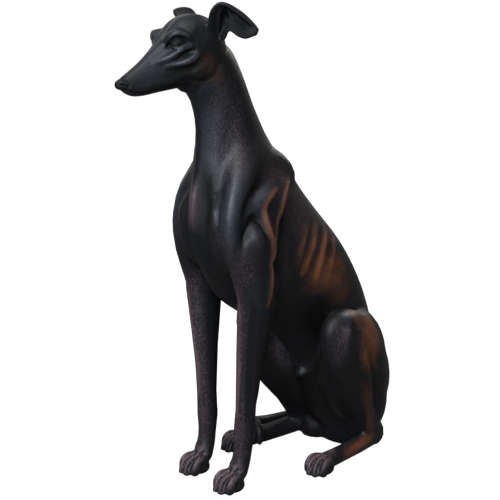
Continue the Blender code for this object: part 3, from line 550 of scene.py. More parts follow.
HAUNCHES = (
    # Knee cap, with a crease across it, and the dent behind it.
    (HIND, 1.9, 0.50, (11.9, 17.9, 34.4), (12.7, 16.9, 32.4), (13.1, 16.3, 30.2), (13.0, 16.6, 27.0)),
    (HIND, 0.8, -0.30, (12.0, 15.6, 32.4), (12.8, 17.0, 32.2), (12.6, 18.4, 31.6)),
    (HIND, 2.2, -0.50, (10.9, 23.0, 33.4), (11.5, 24.4, 31.6), (11.9, 25.6, 28.6)),
    # The ridge down the thigh, and the hamstring groove behind it.
    (HIND, 2.6, 0.50, (13.0, 19.0, 31.0), (12.6, 20.8, 26.1), (12.4, 23.0, 18.7), (12.0, 25.2, 12.1),
     (10.9, 27.4, 6.4)),
    (HIND, 2.0, -0.95, (11.9, 25.2, 25.6), (12.4, 26.4, 20.6), (12.0, 27.3, 15.6), (11.3, 28.2, 11.3),
     (10.9, 28.8, 8.0)),
    (HIND, 2.4, -0.35, (12.8, 15.6, 27.6), (12.8, 18.0, 21.6), (12.0, 20.6, 15.0), (10.8, 24.0, 8.8)),
    # Inside of the shin.
    (HIND, 1.6, 0.35, (7.9, 16.4, 21.2), (7.4, 18.8, 16.4), (7.4, 21.4, 11.6), (7.6, 24.2, 6.6)),
    # Ridge along the foot.
    (HIND, 1.0, 0.30, (9.6, 26.6, 3.9), (10.2, 22.4, 3.6), (10.8, 18.0, 3.6), (11.6, 13.4, 3.7)),
)

FORELEGS = (
    (BOTH, 0.9, 0.25, (8.4, -9.4, 42.0), (8.2, -9.4, 36.0), (7.5, -9.1, 30.0), (6.9, -8.8, 23.0),
     (6.5, -8.6, 16.0)),
    (BOTH, 1.0, -0.30, (10.9, -7.6, 43.0), (10.4, -7.6, 37.0), (9.4, -7.4, 31.0), (8.6, -7.2, 24.0),
     (8.2, -7.0, 16.0)),
    (BOTH, 1.0, 0.30, (10.0, -2.6, 42.0), (9.4, -2.4, 35.0), (8.6, -3.2, 27.0), (7.6, -4.2, 19.0)),
)

FACE = (
    # Eye: the ball in a shallow socket, and the lines of the two lids.
    (BOTH, 1.7, -0.22, (2.8, -21.5, 92.4), (3.6, -21.0, 92.8), (4.4, -19.6, 92.8)),
    (BOTH, 1.0, 0.32, (3.7, -20.9, 92.8), (4.1, -20.2, 92.9)),
    (BOTH, 0.5, -0.40, (1.9, -21.9, 91.7), (2.3, -21.6, 92.1), (2.7, -21.5, 92.4)),
    (BOTH, 0.42, -0.38, (2.4, -21.6, 92.4), (3.1, -21.6, 93.1), (3.8, -21.2, 93.5), (4.3, -20.4, 93.6),
     (4.6, -19.6, 93.3), (4.7, -18.9, 92.6)),
    (BOTH, 0.36, -0.26, (2.6, -21.4, 92.0), (3.5, -21.3, 92.0), (4.2, -20.4, 92.1), (4.6, -19.3, 92.3)),
    # Fold below the eye, the crease under it, the second fold and the hollow under that.
    (BOTH, 1.2, 0.35, (4.6, -18.2, 91.9), (4.3, -19.4, 91.3), (3.9, -20.7, 90.6), (3.1, -22.4, 89.8)),
    (BOTH, 0.8, -0.50, (4.7, -17.4, 91.2), (4.4, -19.0, 90.7), (4.0, -20.1, 90.2)),
    (BOTH, 1.2, 0.40, (4.9, -16.3, 90.8), (4.9, -17.5, 90.0), (4.6, -18.7, 89.4), (4.1, -20.0, 89.0)),
    (BOTH, 1.4, -0.35, (4.5, -15.6, 89.4), (4.1, -17.2, 88.3), (3.5, -19.1, 87.7), (2.9, -21.2, 87.7)),
    # The temple and the line down the forehead.
    (BOTH, 2.4, -0.30, (4.2, -17.0, 95.2), (4.7, -15.6, 94.4), (4.9, -14.0, 93.4)),
    (ONCE, 1.0, -0.25, (0, -24.0, 91.6), (0, -21.6, 94.4), (0, -18.6, 96.8)),
    # Mouth, the edge of the nose, and the nostril.
    (BOTH, 0.45, -0.40, (0.9, -30.8, 84.2), (1.3, -29.9, 84.0), (1.3, -28.5, 83.6), (1.6, -26.2, 83.6),
     (2.0, -23.2, 84.2), (2.4, -20.4, 85.0), (2.8, -18.4, 85.6)),
    (BOTH, 0.42, -0.25, *NOSE_EDGE),
    (BOTH, 0.42, -0.45, *NOSTRIL),
    # Inside of the left ear: its hollow, the folds beside that, and the groove under the rolled rim.
    (ONCE, 1.0, -0.75, (6.2, -10.8, 98.2), (5.6, -10.5, 97.0), (5.4, -10.5, 95.6), (5.2, -10.7, 94.6)),
    (ONCE, 0.7, 0.35, (6.1, -11.9, 98.9), (5.4, -11.8, 97.9), (4.9, -11.6, 96.8), (4.4, -11.1, 95.5),
     (4.4, -11.0, 94.4)),
    (ONCE, 0.8, -0.45, (6.8, -10.9, 98.7), (7.2, -9.8, 97.8), (7.9, -9.0, 96.9), (8.8, -8.2, 95.9),
     (9.5, -7.2, 95.1)),
)


def paws():
    """Side, middle of the sole and splay of each paw."""
    fore = [(side, (6.0, -10.6), 0) for side in (LEFT, RIGHT)]
    hind = [(side, (pose["toes"], 10.0 - pose["forward"]), pose["splay"]) for side, pose in HIND_LEGS.items()]
    return fore + hind


def toe_grooves(length=7.0, width=5.5):
    """The three strokes that part the toes, on every paw."""
    strokes = []
    for side, at, splay in paws():
        for share in (-0.5, 0.0, 0.5):
            x = share * width / 2
            line = []
            for along, height in ((0.25, 4.4), (-0.25, 3.9), (-0.7, 2.8), (-0.98, 1.4)):
                y = along * length / 2 + abs(share) * 1.4
                line.append(on_paw(at, splay, x, y, height))
            strokes.append((((side, 0),), 0.75, -0.65, *line))
    return tuple(strokes)


def reach(places, line):
    """For each place: its distance to the line, how far along it is nearest, and at which of its steps."""
    steps = np.diff(line, axis=0)
    lengths = np.linalg.norm(steps, axis=1)
    starts = np.concatenate([[0], np.cumsum(lengths)])
    nearest = np.full(len(places), np.inf)
    along = np.zeros(len(places))
    which = np.zeros(len(places), int)
    for i, (start, step, length) in enumerate(zip(line, steps, lengths)):
        share = np.clip((places - start) @ step / max(length, 1e-6) ** 2, 0, 1)
        apart = np.linalg.norm(places - start - share[:, None] * step, axis=1)
        closer = apart < nearest
        nearest[closer] = apart[closer]
        along[closer] = starts[i] + share[closer] * length
        which[closer] = i
    return nearest, along, which


def surface_of(figure):
    """Places, in units, and normals of the figure's vertices."""
    mesh = figure.data
    places = np.empty(len(mesh.vertices) * 3)
    mesh.vertices.foreach_get("co", places)
    normals = np.empty(len(mesh.vertices) * 3)
    mesh.vertex_normals.foreach_get("vector", normals)
    return places.reshape(-1, 3) / UNIT, normals.reshape(-1, 3)


def stroke_share(places, normals, tree, place, radius, points):
    """Which vertices a stroke touches, and how strongly: most in its middle, none behind it."""
    side, forward = place
    line = spline(np.array(points, float) * (side, 1, 1) - (0, forward, 0), 4)
    found = [tree.find_nearest(p) for p in line.tolist()]
    line = np.array([f[0] for f in found])
    facing = np.array([f[1] for f in found])
    near = np.flatnonzero(((places > line.min(0) - radius) & (places < line.max(0) + radius)).all(1))
    apart, along, which = reach(places[near], line)
    share = np.clip(1 - (apart / radius) ** 2, 0, None) ** 2
    length = np.linalg.norm(np.diff(line, axis=0), axis=1).sum()
    taper = min(2 * radius, length / 3) + 1e-6
    share *= np.clip(0.35 + 0.65 * np.minimum(along, length - along) / taper, 0, 1)
    share *= np.clip((normals[near] * facing[which]).sum(1) * 3, 0, 1)
    return near, share


def carve(figure, strokes):
    """Raises or sinks the surface along each stroke."""
    places, normals = surface_of(figure)
    tree = BVHTree.FromPolygons(places.tolist(), [tuple(p.vertices) for p in figure.data.polygons])
    moved = places.copy()
    for where, radius, height, *points in strokes:
        for place in where:
            near, share = stroke_share(places, normals, tree, place, radius, points)
            moved[near] += normals[near] * (share * height)[:, None]
    figure.data.vertices.foreach_set("co", (moved * UNIT).ravel())
    figure.data.update()


def sole_cut(figure):
    """Cuts the figure flat on the floor and closes the cuts."""
    shape = bmesh.new()
    shape.from_mesh(figure.data)
    whole = shape.verts[:] + shape.edges[:] + shape.faces[:]
    floor = {"plane_co": (0, 0, 0), "plane_no": (0, 0, 1)}
    bmesh.ops.bisect_plane(shape, geom=whole, dist=1e-6, clear_inner=True, **floor)
    bmesh.ops.holes_fill(shape, edges=[e for e in shape.edges if e.is_boundary])
    bmesh.ops.triangulate(shape, faces=shape.faces[:])
    shape.to_mesh(figure.data)
    shape.free()


def keep_largest(figure):
    """Leaves only the largest connected piece of the mesh."""
    shape = bmesh.new()
    shape.from_mesh(figure.data)
    left = set(shape.verts)
    pieces = []
    while left:
        queue = [left.pop()]
        piece = list(queue)
        while queue:
            for edge in queue.pop().link_edges:
                for vert in edge.verts:
                    if vert in left:
                        left.remove(vert)
                        queue.append(vert)
                        piece.append(vert)
        pieces.append(piece)
    pieces.sort(key=len)
    for piece in pieces[:-1]:
        bmesh.ops.delete(shape, geom=piece, context="VERTS")
    shape.to_mesh(figure.data)
    shape.free()


def thin_out(figure, triangles):
    """Fewer triangles, with more of them left on the head, the ears and the paws."""
    group = figure.vertex_groups.new(name="plain")
    for vert in figure.data.vertices:
        _, y, z = vert.co / UNIT
        fine = z > HEAD_FROM or (PAWS_FROM < z < PAWS_TO and y < PAWS_BEFORE)
        group.add([vert.index], FINE_SHARE if fine else 1.0, "REPLACE")
    thin = figure.modifiers.new("thin", "DECIMATE")
    thin.ratio = triangles / sum(len(face.vertices) - 2 for face in figure.data.polygons)
    thin.vertex_group = group.name
    thin.vertex_group_factor = 1.0
    thin.use_collapse_triangulate = True
    apply_modifiers(figure)
    figure.vertex_groups.clear()


def centre_on_floor(figure):
    """Puts the middle of the figure's box over the origin, with the soles at z = 0."""
    places = np.array([v.co for v in figure.data.vertices])
    middle = (places.min(0) + places.max(0)) / 2
    figure.data.transform(Matrix.Translation((-middle[0], -middle[1], -places[:, 2].min())))


# One stroke on the dog's right side only.
FAR = ((RIGHT, 0),)

# Lines of the face and breast that are both carved and painted: the brow, the two ridges below the eye
# with the crease between them, the hollow beside the breastbone and the thin cord beside that. Brow,
# ridges and cord take a painted highlight; crease and hollow take painted shade.
BROW = ((3.7, -21.4, 94.4), (4.1, -20.6, 94.7), (4.5, -19.7, 94.5), (4.7, -18.9, 93.9))
UPPER_RIDGE = (
    (4.6, -18.7, 91.9), (4.4, -19.9, 91.4), (4.1, -20.9, 90.8), (3.5, -22.0, 90.0), (2.7, -23.1, 89.3),
)
RIDGE_CREASE = ((4.7, -18.4, 91.2), (4.3, -20.0, 90.5), (3.9, -21.1, 89.9))
LOWER_RIDGE = ((5.2, -16.9, 90.2), (5.1, -18.2, 89.5), (4.5, -19.6, 89.0), (3.7, -21.1, 88.7))
BREAST_HOLLOW = ((2.3, -12.9, 67.6), (2.6, -13.1, 62.0), (3.2, -13.7, 57.6), (3.0, -13.6, 53.6))
BREAST_CORD = ((5.6, -13.3, 60.6), (6.0, -13.6, 58.4), (6.0, -13.7, 56.4))

# Finer carving, in the same units: eyes, cheeks, ears, breast and belly.
FINE_FACE = (
    # The deep line under the upper lid, the inner corner of the eye, its lower lid and the pupil.
    (BOTH, 0.60, -0.42, (3.0, -21.6, 92.6), (3.4, -21.4, 93.1), (3.9, -20.9, 93.5), (4.3, -20.1, 93.6),
     (4.5, -19.2, 93.2), (4.6, -18.5, 92.6)),
    (BOTH, 0.65, -0.30, (2.4, -21.6, 91.9), (2.9, -21.6, 92.4)),
    (BOTH, 0.55, 0.24, (3.3, -21.3, 91.8), (3.8, -20.7, 91.8), (4.3, -19.9, 91.9), (4.6, -18.9, 92.3)),
    (BOTH, 0.40, -0.12, (3.9, -20.7, 92.8), (4.0, -20.5, 92.8)),
    # The brow, the two ridges below the eye and the crease between them.
    (BOTH, 0.80, 0.16, *BROW),
    (BOTH, 0.90, 0.24, *UPPER_RIDGE),
    (BOTH, 0.75, -0.28, *RIDGE_CREASE),
    (BOTH, 0.80, 0.24, *LOWER_RIDGE),
    # A leaner throat.
    (BOTH, 1.7, -0.55, (1.6, -17.5, 84.2), (2.2, -16.6, 84.0), (2.8, -15.5, 84.3)),
    # The triceps and the groove round it, and the end of the sheath.
    (BOTH, 2.0, 0.55, (10.0, -7.0, 56.2), (10.4, -6.7, 54.2), (10.7, -6.4, 51.6)),
    (BOTH, 0.9, -0.55, (10.1, -10.0, 53.2), (9.9, -9.4, 55.4), (9.7, -8.0, 57.2), (9.6, -6.2, 58.4),
     (9.8, -4.9, 57.2), (10.4, -4.4, 54.4)),
    (ONCE, 2.5, 0.75, (1.2, 14.6, 19.8), (1.3, 14.5, 18.9)),
    # The breast: the hollow between neck and breastbone, the bone itself and the thin cord beside it.
    (BOTH, 1.5, -0.35, *BREAST_HOLLOW),
    (ONCE, 1.0, 0.28, (0.2, -14.7, 64.0), (0.6, -15.0, 61.0), (0.6, -15.0, 57.0)),
    (BOTH, 0.6, 0.20, *BREAST_CORD),
    # Second fold in the ear, and its rolled rim.
    (ONCE, 0.55, 0.30, (6.6, -10.5, 98.3), (6.2, -10.1, 97.4), (6.0, -10.1, 96.4), (5.8, -10.3, 95.4)),
    (ONCE, 0.50, 0.16, (6.4, -12.4, 99.6), (7.0, -11.5, 99.5), (7.8, -10.2, 98.4), (8.8, -8.7, 97.0),
     (9.6, -7.2, 95.6)),
)


# Paint strokes: sides, radius, strength and a line of places given for the left side.
RUST = (
    # The two cords behind the shoulder, which meet and run down the arm.
    (BOTH, 0.7, 0.58, *FORE_CORD),
    (BOTH, 0.7, 0.58, *REAR_CORD),
    # The ribs and the flank below them.
    (BOTH, 1.1, 0.45, (6.8, 10.1, 54.2), (7.5, 8.6, 51.5), (7.9, 7.1, 48.7)),
    (BOTH, 1.2, 0.85, (6.3, 13.2, 53.2), (7.2, 11.5, 50.3), (8.3, 9.1, 47.2), (8.5, 7.8, 44.6)),
    (BOTH, 1.2, 0.95, (5.4, 16.7, 51.7), (7.1, 14.6, 48.8), (8.5, 12.2, 45.0), (8.6, 11.2, 42.4)),
    (BOTH, 1.2, 0.85, (5.2, 19.4, 49.5), (7.2, 17.2, 46.6), (8.4, 15.3, 42.7)),
    (BOTH, 4.5, 0.50, (8.5, 12.7, 43.4), (7.9, 17.8, 43.0), (7.8, 20.8, 39.8)),
    # The haunch, the shank and the hind foot, and the jaw.
    (HIND, 3.6, 1.00, (11.2, 22.0, 33.0), (11.5, 25.5, 29.3), (10.9, 28.0, 26.0)),
    (HIND, 2.4, 0.70, (12.4, 22.5, 27.5), (12.0, 25.0, 22.0)),
    (HIND, 1.4, 0.28, (12.2, 23.6, 17.0), (11.4, 26.2, 9.0), (10.9, 27.6, 4.4)),
    (BOTH, 2.2, 0.12, (3.9, -17.0, 88.3), (4.4, -15.7, 88.9), (4.7, -14.0, 89.0), (4.3, -12.2, 87.4),
     (4.0, -11.5, 86.2)),
    (BOTH, 0.6, 0.16, (4.0, -11.5, 86.2), (3.7, -13.2, 85.5), (3.0, -15.6, 85.1)),
    (HIND, 1.6, 0.55, (10.9, 27.6, 3.4), (11.6, 23.1, 2.7), (12.6, 17.3, 1.8)),
)

# Flecked mauve: forelegs and paws, knees, the far thigh, neck and back. On the far thigh it also stands for
# a painted sheen.
MAUVE = (
    (BOTH, 3.0, 0.50, (9.4, -9.6, 50.0), (8.6, -8.4, 46.0), (7.8, -9.4, 40.0), (7.0, -8.9, 28.0),
     (6.4, -8.6, 16.0), (6.2, -10.4, 5.0)),
    (BOTH, 3.6, 0.85, (6.0, -13.0, 3.0), (6.0, -10.0, 4.2)),
    (HIND, 3.6, 1.00, (11.8, 8.6, 3.0), (11.0, 12.0, 3.8)),
    (HIND, 2.6, 0.60, (12.2, 15.8, 31.0), (12.4, 15.2, 26.0)),
    (FAR, 4.0, 0.60, (5.6, 11.5, 27.5), (4.9, 13.4, 24.7), (3.4, 14.3, 21.5)),
    (BOTH, 3.6, 0.15, (7.0, -12.4, 56.0), (7.8, -11.0, 48.0)),
    (BOTH, 5.0, 0.30, (4.4, -9.0, 82.0), (4.8, -8.6, 74.0), (5.2, -7.0, 66.0)),
    (BOTH, 5.0, 0.40, (6.6, 2.0, 66.0), (6.8, 8.0, 58.0), (7.4, 12.0, 50.0)),
    (ONCE, 2.0, 0.40, (0.2, -14.7, 64.0), (0.6, -15.0, 57.0)),
)

# Painted shade: a darker black with a brown cast on the haunches, inner thighs, belly, flank and lower chest.
LOWER_SHADE = (
    (HIND, 12.0, 0.95, (9.0, 18.0, 30.0), (9.0, 24.0, 14.0), (9.0, 28.0, 6.0)),
    (HIND, 9.0, 0.90, (2.0, 20.0, 26.0), (1.0, 22.0, 14.0), (3.0, 25.0, 6.0)),
    (BOTH, 9.0, 0.90, (4.0, 2.0, 38.0), (5.0, 12.0, 36.0), (6.0, 22.0, 40.0)),
    (BOTH, 6.0, 0.60, (8.4, 4.0, 46.0), (8.6, 12.0, 43.0)),
    (BOTH, 5.0, 0.80, (2.0, -11.0, 50.0), (1.0, -8.0, 44.0)),
)

# Where the paint is glossier, and where a pale blue-grey painted highlight is laid into its colour.
GLOSS_AND_HIGHLIGHT = (
    (BOTH, 4.5, 0.50, (3.6, -12.0, 82.0), (4.0, -11.2, 76.0), (4.8, -10.8, 70.0), (6.2, -10.4, 66.8)),
    (BOTH, 3.4, 1.00, (8.1, -7.9, 67.6), (8.7, -9.9, 65.1), (8.9, -11.4, 62.5), (9.1, -12.4, 59.5),
     (9.2, -12.9, 55.0)),
    (BOTH, 2.8, 0.20, (10.0, -7.6, 56.4), (10.6, -7.0, 51.0)),
    (BOTH, 1.8, 0.80, (7.6, -2.6, 63.4), (8.6, -6.1, 59.8)),
    (ONCE, 1.4, 0.55, (0.2, -14.7, 64.0), (0.6, -15.0, 61.0), (0.6, -15.0, 56.0)),
    (BOTH, 0.6, 0.90, *BREAST_CORD),
    (ONCE, 5.0, 0.55, (0.0, -28.0, 89.0), (0.0, -22.0, 94.0), (0.0, -16.0, 98.0), (0.0, -12.0, 98.4)),
    (BOTH, 2.6, 0.60, (1.6, -28.0, 86.4), (2.4, -23.0, 88.4)),
    (BOTH, 1.2, 1.00, *UPPER_RIDGE),
    (BOTH, 1.0, 1.00, *LOWER_RIDGE),
    (BOTH, 0.8, 1.00, *BROW),
    (BOTH, 2.0, 0.25, (9.2, -6.0, 46.0), (7.6, -9.4, 36.0), (6.6, -9.0, 20.0), (6.2, -10.0, 6.0)),
    (BOTH, 3.4, 0.60, (6.0, -13.0, 3.0), (6.0, -9.0, 4.2)),
    (HIND, 3.4, 0.60, (11.8, 8.6, 3.0), (11.0, 12.0, 3.8)),
    (HIND, 1.4, 1.00, (12.2, 18.0, 34.4), (13.0, 16.7, 33.2), (13.4, 15.5, 30.6), (13.2, 16.0, 27.8)),
    (ONCE, 1.6, 0.40, (1.2, 14.6, 19.8), (1.3, 14.5, 18.9)),
    (FAR, 4.0, 0.50, (5.6, 11.5, 27.5), (4.9, 13.4, 24.7), (3.4, 14.3, 21.5)),
)

# Painted shade: near-black laid into the lines of eye, mouth, nostril, breast and ear, the crease and hollow
# below the eye, the lower chest and the hollow of the ear's flap.
PAINTED_SHADE = (
    (BOTH, 0.60, 1.00, (2.3, -21.6, 91.8), (2.9, -21.6, 92.4), (3.3, -21.4, 93.1), (3.9, -20.9, 93.6),
     (4.3, -20.1, 93.7), (4.5, -19.2, 93.3), (4.6, -18.5, 92.7)),
    (BOTH, 0.55, 1.00, (2.9, -21.5, 92.3), (3.3, -21.3, 92.7)),
    (BOTH, 0.40, 0.80, (3.9, -20.8, 92.9), (4.0, -20.4, 92.9)),
    (BOTH, 0.80, 1.00, *RIDGE_CREASE),
    (BOTH, 1.2, 0.60, (4.5, -15.8, 89.0), (3.9, -17.8, 87.9), (3.3, -19.9, 87.6)),
    (BOTH, 0.45, 1.00, (0.9, -30.8, 84.3), (1.3, -29.9, 84.1), (1.3, -28.5, 83.7), (1.6, -26.2, 83.6),
     (2.0, -23.2, 84.2), (2.4, -20.4, 85.0), (2.8, -18.4, 85.6)),
    (BOTH, 0.50, 1.00, *NOSTRIL),
    (BOTH, 0.40, 0.80, *NOSE_EDGE),
    (BOTH, 1.6, 0.70, *BREAST_HOLLOW),
    (BOTH, 4.2, 0.80, (1.5, -14.1, 56.7), (2.4, -13.1, 51.6), (3.7, -12.1, 49.2)),
    (ONCE, 0.9, 0.90, (6.0, -10.7, 98.3), (5.4, -10.4, 97.2), (5.3, -10.5, 95.5), (5.2, -10.7, 94.7)),
    (ONCE, 3.0, 1.00, (6.9, -9.8, 97.2), (7.9, -9.2, 95.9), (8.7, -8.4, 95.0), (9.3, -7.4, 94.8)),
)

PAINTS = {"rust": RUST, "mauve": MAUVE, "lower_shade": LOWER_SHADE, "gloss_and_highlight": GLOSS_AND_HIGHLIGHT, "dark": PAINTED_SHADE}

# How often the skin is blurred to tell its edges, and its broader ridges and hollows, from it.
EDGE_BLUR = 12
FORM_BLUR = 60

# Where the head begins, from below and from behind: the clay is finer there.
HEAD_FLOOR = 84 * UNIT
HEAD_BACK = -9 * UNIT


def neighbours(mesh):
    """Both ends of every edge, and how many edges meet at each vertex."""
    ends = np.empty(len(mesh.edges) * 2, int)
    mesh.edges.foreach_get("vertices", ends)
    ends = ends.reshape(-1, 2)
    return ends[:, 0], ends[:, 1], np.bincount(ends.ravel(), minlength=len(mesh.vertices))


def blurred(values, mesh_edges, times):
    """Values of the vertices, each drawn towards its neighbours this many times."""
    one, other, count = mesh_edges
    for _ in range(times):
        total = np.bincount(one, values[other], len(values))
        total += np.bincount(other, values[one], len(values))
        values = (values + total / count) / 2
    return values


def relief(figure, times):
    """How far each vertex stands out of the blurred skin: above 0 on ridges, below 0 in grooves."""
    places, normals = surface_of(figure)
    mesh_edges = neighbours(figure.data)
    smooth = np.stack([blurred(places[:, i], mesh_edges, times) for i in range(3)], 1)
    return ((places - smooth) * normals).sum(1)


def paint(figure, name, values):
    """Keeps one value a vertex on the skin, for the paint to read."""
    kept = figure.data.attributes.new(name, "FLOAT", "POINT")
    kept.data.foreach_set("value", values.astype(np.float32))


def painted(figure, strokes):
    """How strongly the strokes of one paint cover each vertex."""
    places, normals = surface_of(figure)
    tree = BVHTree.FromPolygons(places.tolist(), [tuple(p.vertices) for p in figure.data.polygons])
    cover = np.zeros(len(places))
    for where, radius, strength, *points in strokes:
        for place in where:
            near, share = stroke_share(places, normals, tree, place, radius, points)
            cover[near] = np.maximum(cover[near], np.sqrt(share) * strength)
    return cover


def finer_head(figure):
    """The clay of the head with its grains halved, for eyes, nose and ears."""
    shape = bmesh.new()
    shape.from_mesh(figure.data)
    head = {vert for vert in shape.verts if vert.co.z > HEAD_FLOOR and vert.co.y < HEAD_BACK}
    edges = [edge for edge in shape.edges if head.issuperset(edge.verts)]
    bmesh.ops.subdivide_edges(shape, edges=edges, cuts=1, use_grid_fill=True)
    bmesh.ops.triangulate(shape, faces=[face for face in shape.faces if len(face.verts) > 4])
    shape.to_mesh(figure.data)
    shape.free()


def carved_figure():
    """The whole figure on the fine grain, thinned to what it may hold, with its paint laid on."""
    figure = fused(lay_clay(), HEIGHT / CLAY_GRAINS)
    keep_largest(figure)
    soften(figure, BROAD_SOFTENING)
    carve(figure, MUSCLES + HAUNCHES)
    soften(figure, MUSCLE_SOFTENING)
    carve(figure, CORDS)
    soften(figure, CORD_SOFTENING)
    finer_head(figure)
    carve(figure, FORELEGS + FACE + toe_grooves() + FINE_FACE)
    full_places, _ = surface_of(figure)
    edge = relief(figure, EDGE_BLUR)
    form = relief(figure, FORM_BLUR)
    thin_out(figure, SKIN_TRIANGLES)
    sole_cut(figure)
    finder = KDTree(len(full_places))
    for i, place in enumerate(full_places.tolist()):
        finder.insert(place, i)
    finder.balance()
    places, _ = surface_of(figure)
    source = np.array([finder.find(place)[1] for place in places.tolist()])
    paint(figure, "edge", edge[source])
    paint(figure, "form", form[source])
    for name, strokes in PAINTS.items():
        paint(figure, name, painted(figure, strokes))
    centre_on_floor(figure)
    figure.data.shade_smooth()
    return figure


# The white floor and sky of the studio: how strongly each glows on the figure, and how strongly it is
# seen. They are seen brighter than they light, so that the dark paint keeps its depth.
FLOOR_SIZE = 400
FLOOR_SHADE = (0.12, 0.12, 0.12, 1)
FLOOR_GLOW = (0.02, 1.0)
SKY_SHADE = (0.92, 0.96, 1.0, 1)
SKY_GLOW = (0.06, 1.1)

# Soft light from straight above, leaning a little: its strength, its breadth and its lean, in degrees.
HIGH_POWER = 2.6
HIGH_BREADTH = 40
HIGH_LEAN = (12, 14, 0)

# Lamps: name, place, what it points at, size, power and colour.
LAMPS = (
    ("front_sky", (1.75, -2.6, 2.1), (0, 0, 0.5), 2.2, 230, (0.80, 0.90, 1.0)),
    ("side_fill", (2.9, -0.6, 1.6), (0, 0, 0.4), 1.2, 12, (1.0, 0.96, 0.90)),
    ("far_fill", (-2.9, 0.2, 1.9), (0, 0, 0.4), 3.6, 40, (1.0, 0.97, 0.92)),
    ("behind", (-0.9, 2.9, 1.9), (0, 0.1, 0.5), 1.4, 40, (1.0, 0.97, 0.92)),
)


def seen_brighter(tree, glow, strength):
    """Sets a strength to the first value of glow where it lights, and to the second where it is seen."""
    seen = tree.nodes.new("ShaderNodeLightPath").outputs["Is Camera Ray"]
    share = tree.nodes.new("ShaderNodeMapRange")
    share.inputs["To Min"].default_value, share.inputs["To Max"].default_value = glow
    tree.links.new(seen, share.inputs["Value"])
    tree.links.new(share.outputs["Result"], strength)


def studio():
    """A plain white floor and soft light from above, with a brighter window at the front left."""
    for picked in list(bpy.context.selected_objects):
        picked.select_set(False)
    bpy.ops.mesh.primitive_plane_add(size=FLOOR_SIZE, location=(0, 0, 0))
    floor = bpy.context.object
    floor.name = "floor"
    plain = bpy.data.materials.new("plain_floor")
    plain.use_nodes = True
    shader = plain.node_tree.nodes["Principled BSDF"]
    shader.inputs["Base Color"].default_value = FLOOR_SHADE
    shader.inputs["Roughness"].default_value = 0.95
    shader.inputs["Specular IOR Level"].default_value = 0.0
    shader.inputs["Emission Color"].default_value = (1, 1, 1, 1)
    seen_brighter(plain.node_tree, FLOOR_GLOW, shader.inputs["Emission Strength"])
    floor.data.materials.append(plain)
    world = bpy.data.worlds.new("studio")
    bpy.context.scene.world = world
    world.use_nodes = True
    sky = world.node_tree.nodes["Background"]
    sky.inputs["Color"].default_value = SKY_SHADE
    seen_brighter(world.node_tree, SKY_GLOW, sky.inputs["Strength"])
    sun = bpy.data.lights.new("sky_light", "SUN")
    sun.energy = HIGH_POWER
    sun.angle = math.radians(HIGH_BREADTH)
    high = bpy.data.objects.new("sky_light", sun)
    high.rotation_euler = [math.radians(turn) for turn in HIGH_LEAN]
    bpy.context.scene.collection.objects.link(high)
    for name, place, aim, size, power, colour in LAMPS:
        lamp = bpy.data.lights.new(name, "AREA")
        lamp.shape = "DISK"
        lamp.size = size
        lamp.energy = power
        lamp.color = colour
        held = bpy.data.objects.new(name, lamp)
        held.location = place
        held.rotation_euler = (Vector(aim) - Vector(place)).to_track_quat("-Z", "Y").to_euler()
        bpy.context.scene.collection.objects.link(held)
    bpy.context.scene.view_settings.view_transform = "Standard"


# The camera: what it points at, how far round to the dog's left it stands, how far off and how high, in
# the figure's units; then its film and lens in millimetres.
AIM = Vector((0.828, -2.794, 49.2))
CAMERA_TURN = 50
CAMERA_DISTANCE = 220
CAMERA_HEIGHT = 100
FILM_WIDTH = 36
FOCAL_LENGTH = 77.1


def camera():
    """The camera as the picture was taken: from the dog's front left, a little above its back."""
    turn = math.radians(CAMERA_TURN)
    away = CAMERA_DISTANCE * Vector((math.sin(turn), -math.cos(turn), 0))
    place = Vector((AIM.x, AIM.y, CAMERA_HEIGHT)) + away
    lens = bpy.data.cameras.new("camera")
    lens.sensor_width = FILM_WIDTH
    lens.lens = FOCAL_LENGTH
    held = bpy.data.objects.new("camera", lens)
    held.location = place * UNIT
    held.rotation_euler = (AIM - place).to_track_quat("-Z", "Y").to_euler()
    bpy.context.scene.collection.objects.link(held)
    bpy.context.scene.camera = held


# The colours of the paint, with those of its painted shade and painted highlights.
BLUISH_BLACK = (0.0014, 0.0020, 0.0022, 1)
GREY_BLACK = (0.0030, 0.0032, 0.0042, 1)
# Brown-black of the painted shade on the lower body.
SHADE_BROWN_BLACK = (0.0014, 0.0010, 0.0006, 1)
# Near-black of the painted shade in hollows and lines.
PAINTED_SHADE_BLACK = (0.0006, 0.0006, 0.0005, 1)
DUST = (0.014, 0.011, 0.013, 1)
WORN_EDGE = (0.030, 0.023, 0.025, 1)
# Pale blue-grey of the painted highlights.
PAINTED_HIGHLIGHT_GREY = (0.030, 0.034, 0.043, 1)
MAUVE_FLECK = (0.125, 0.070, 0.077, 1)
RUST_BROWN = (0.140, 0.045, 0.0165, 1)


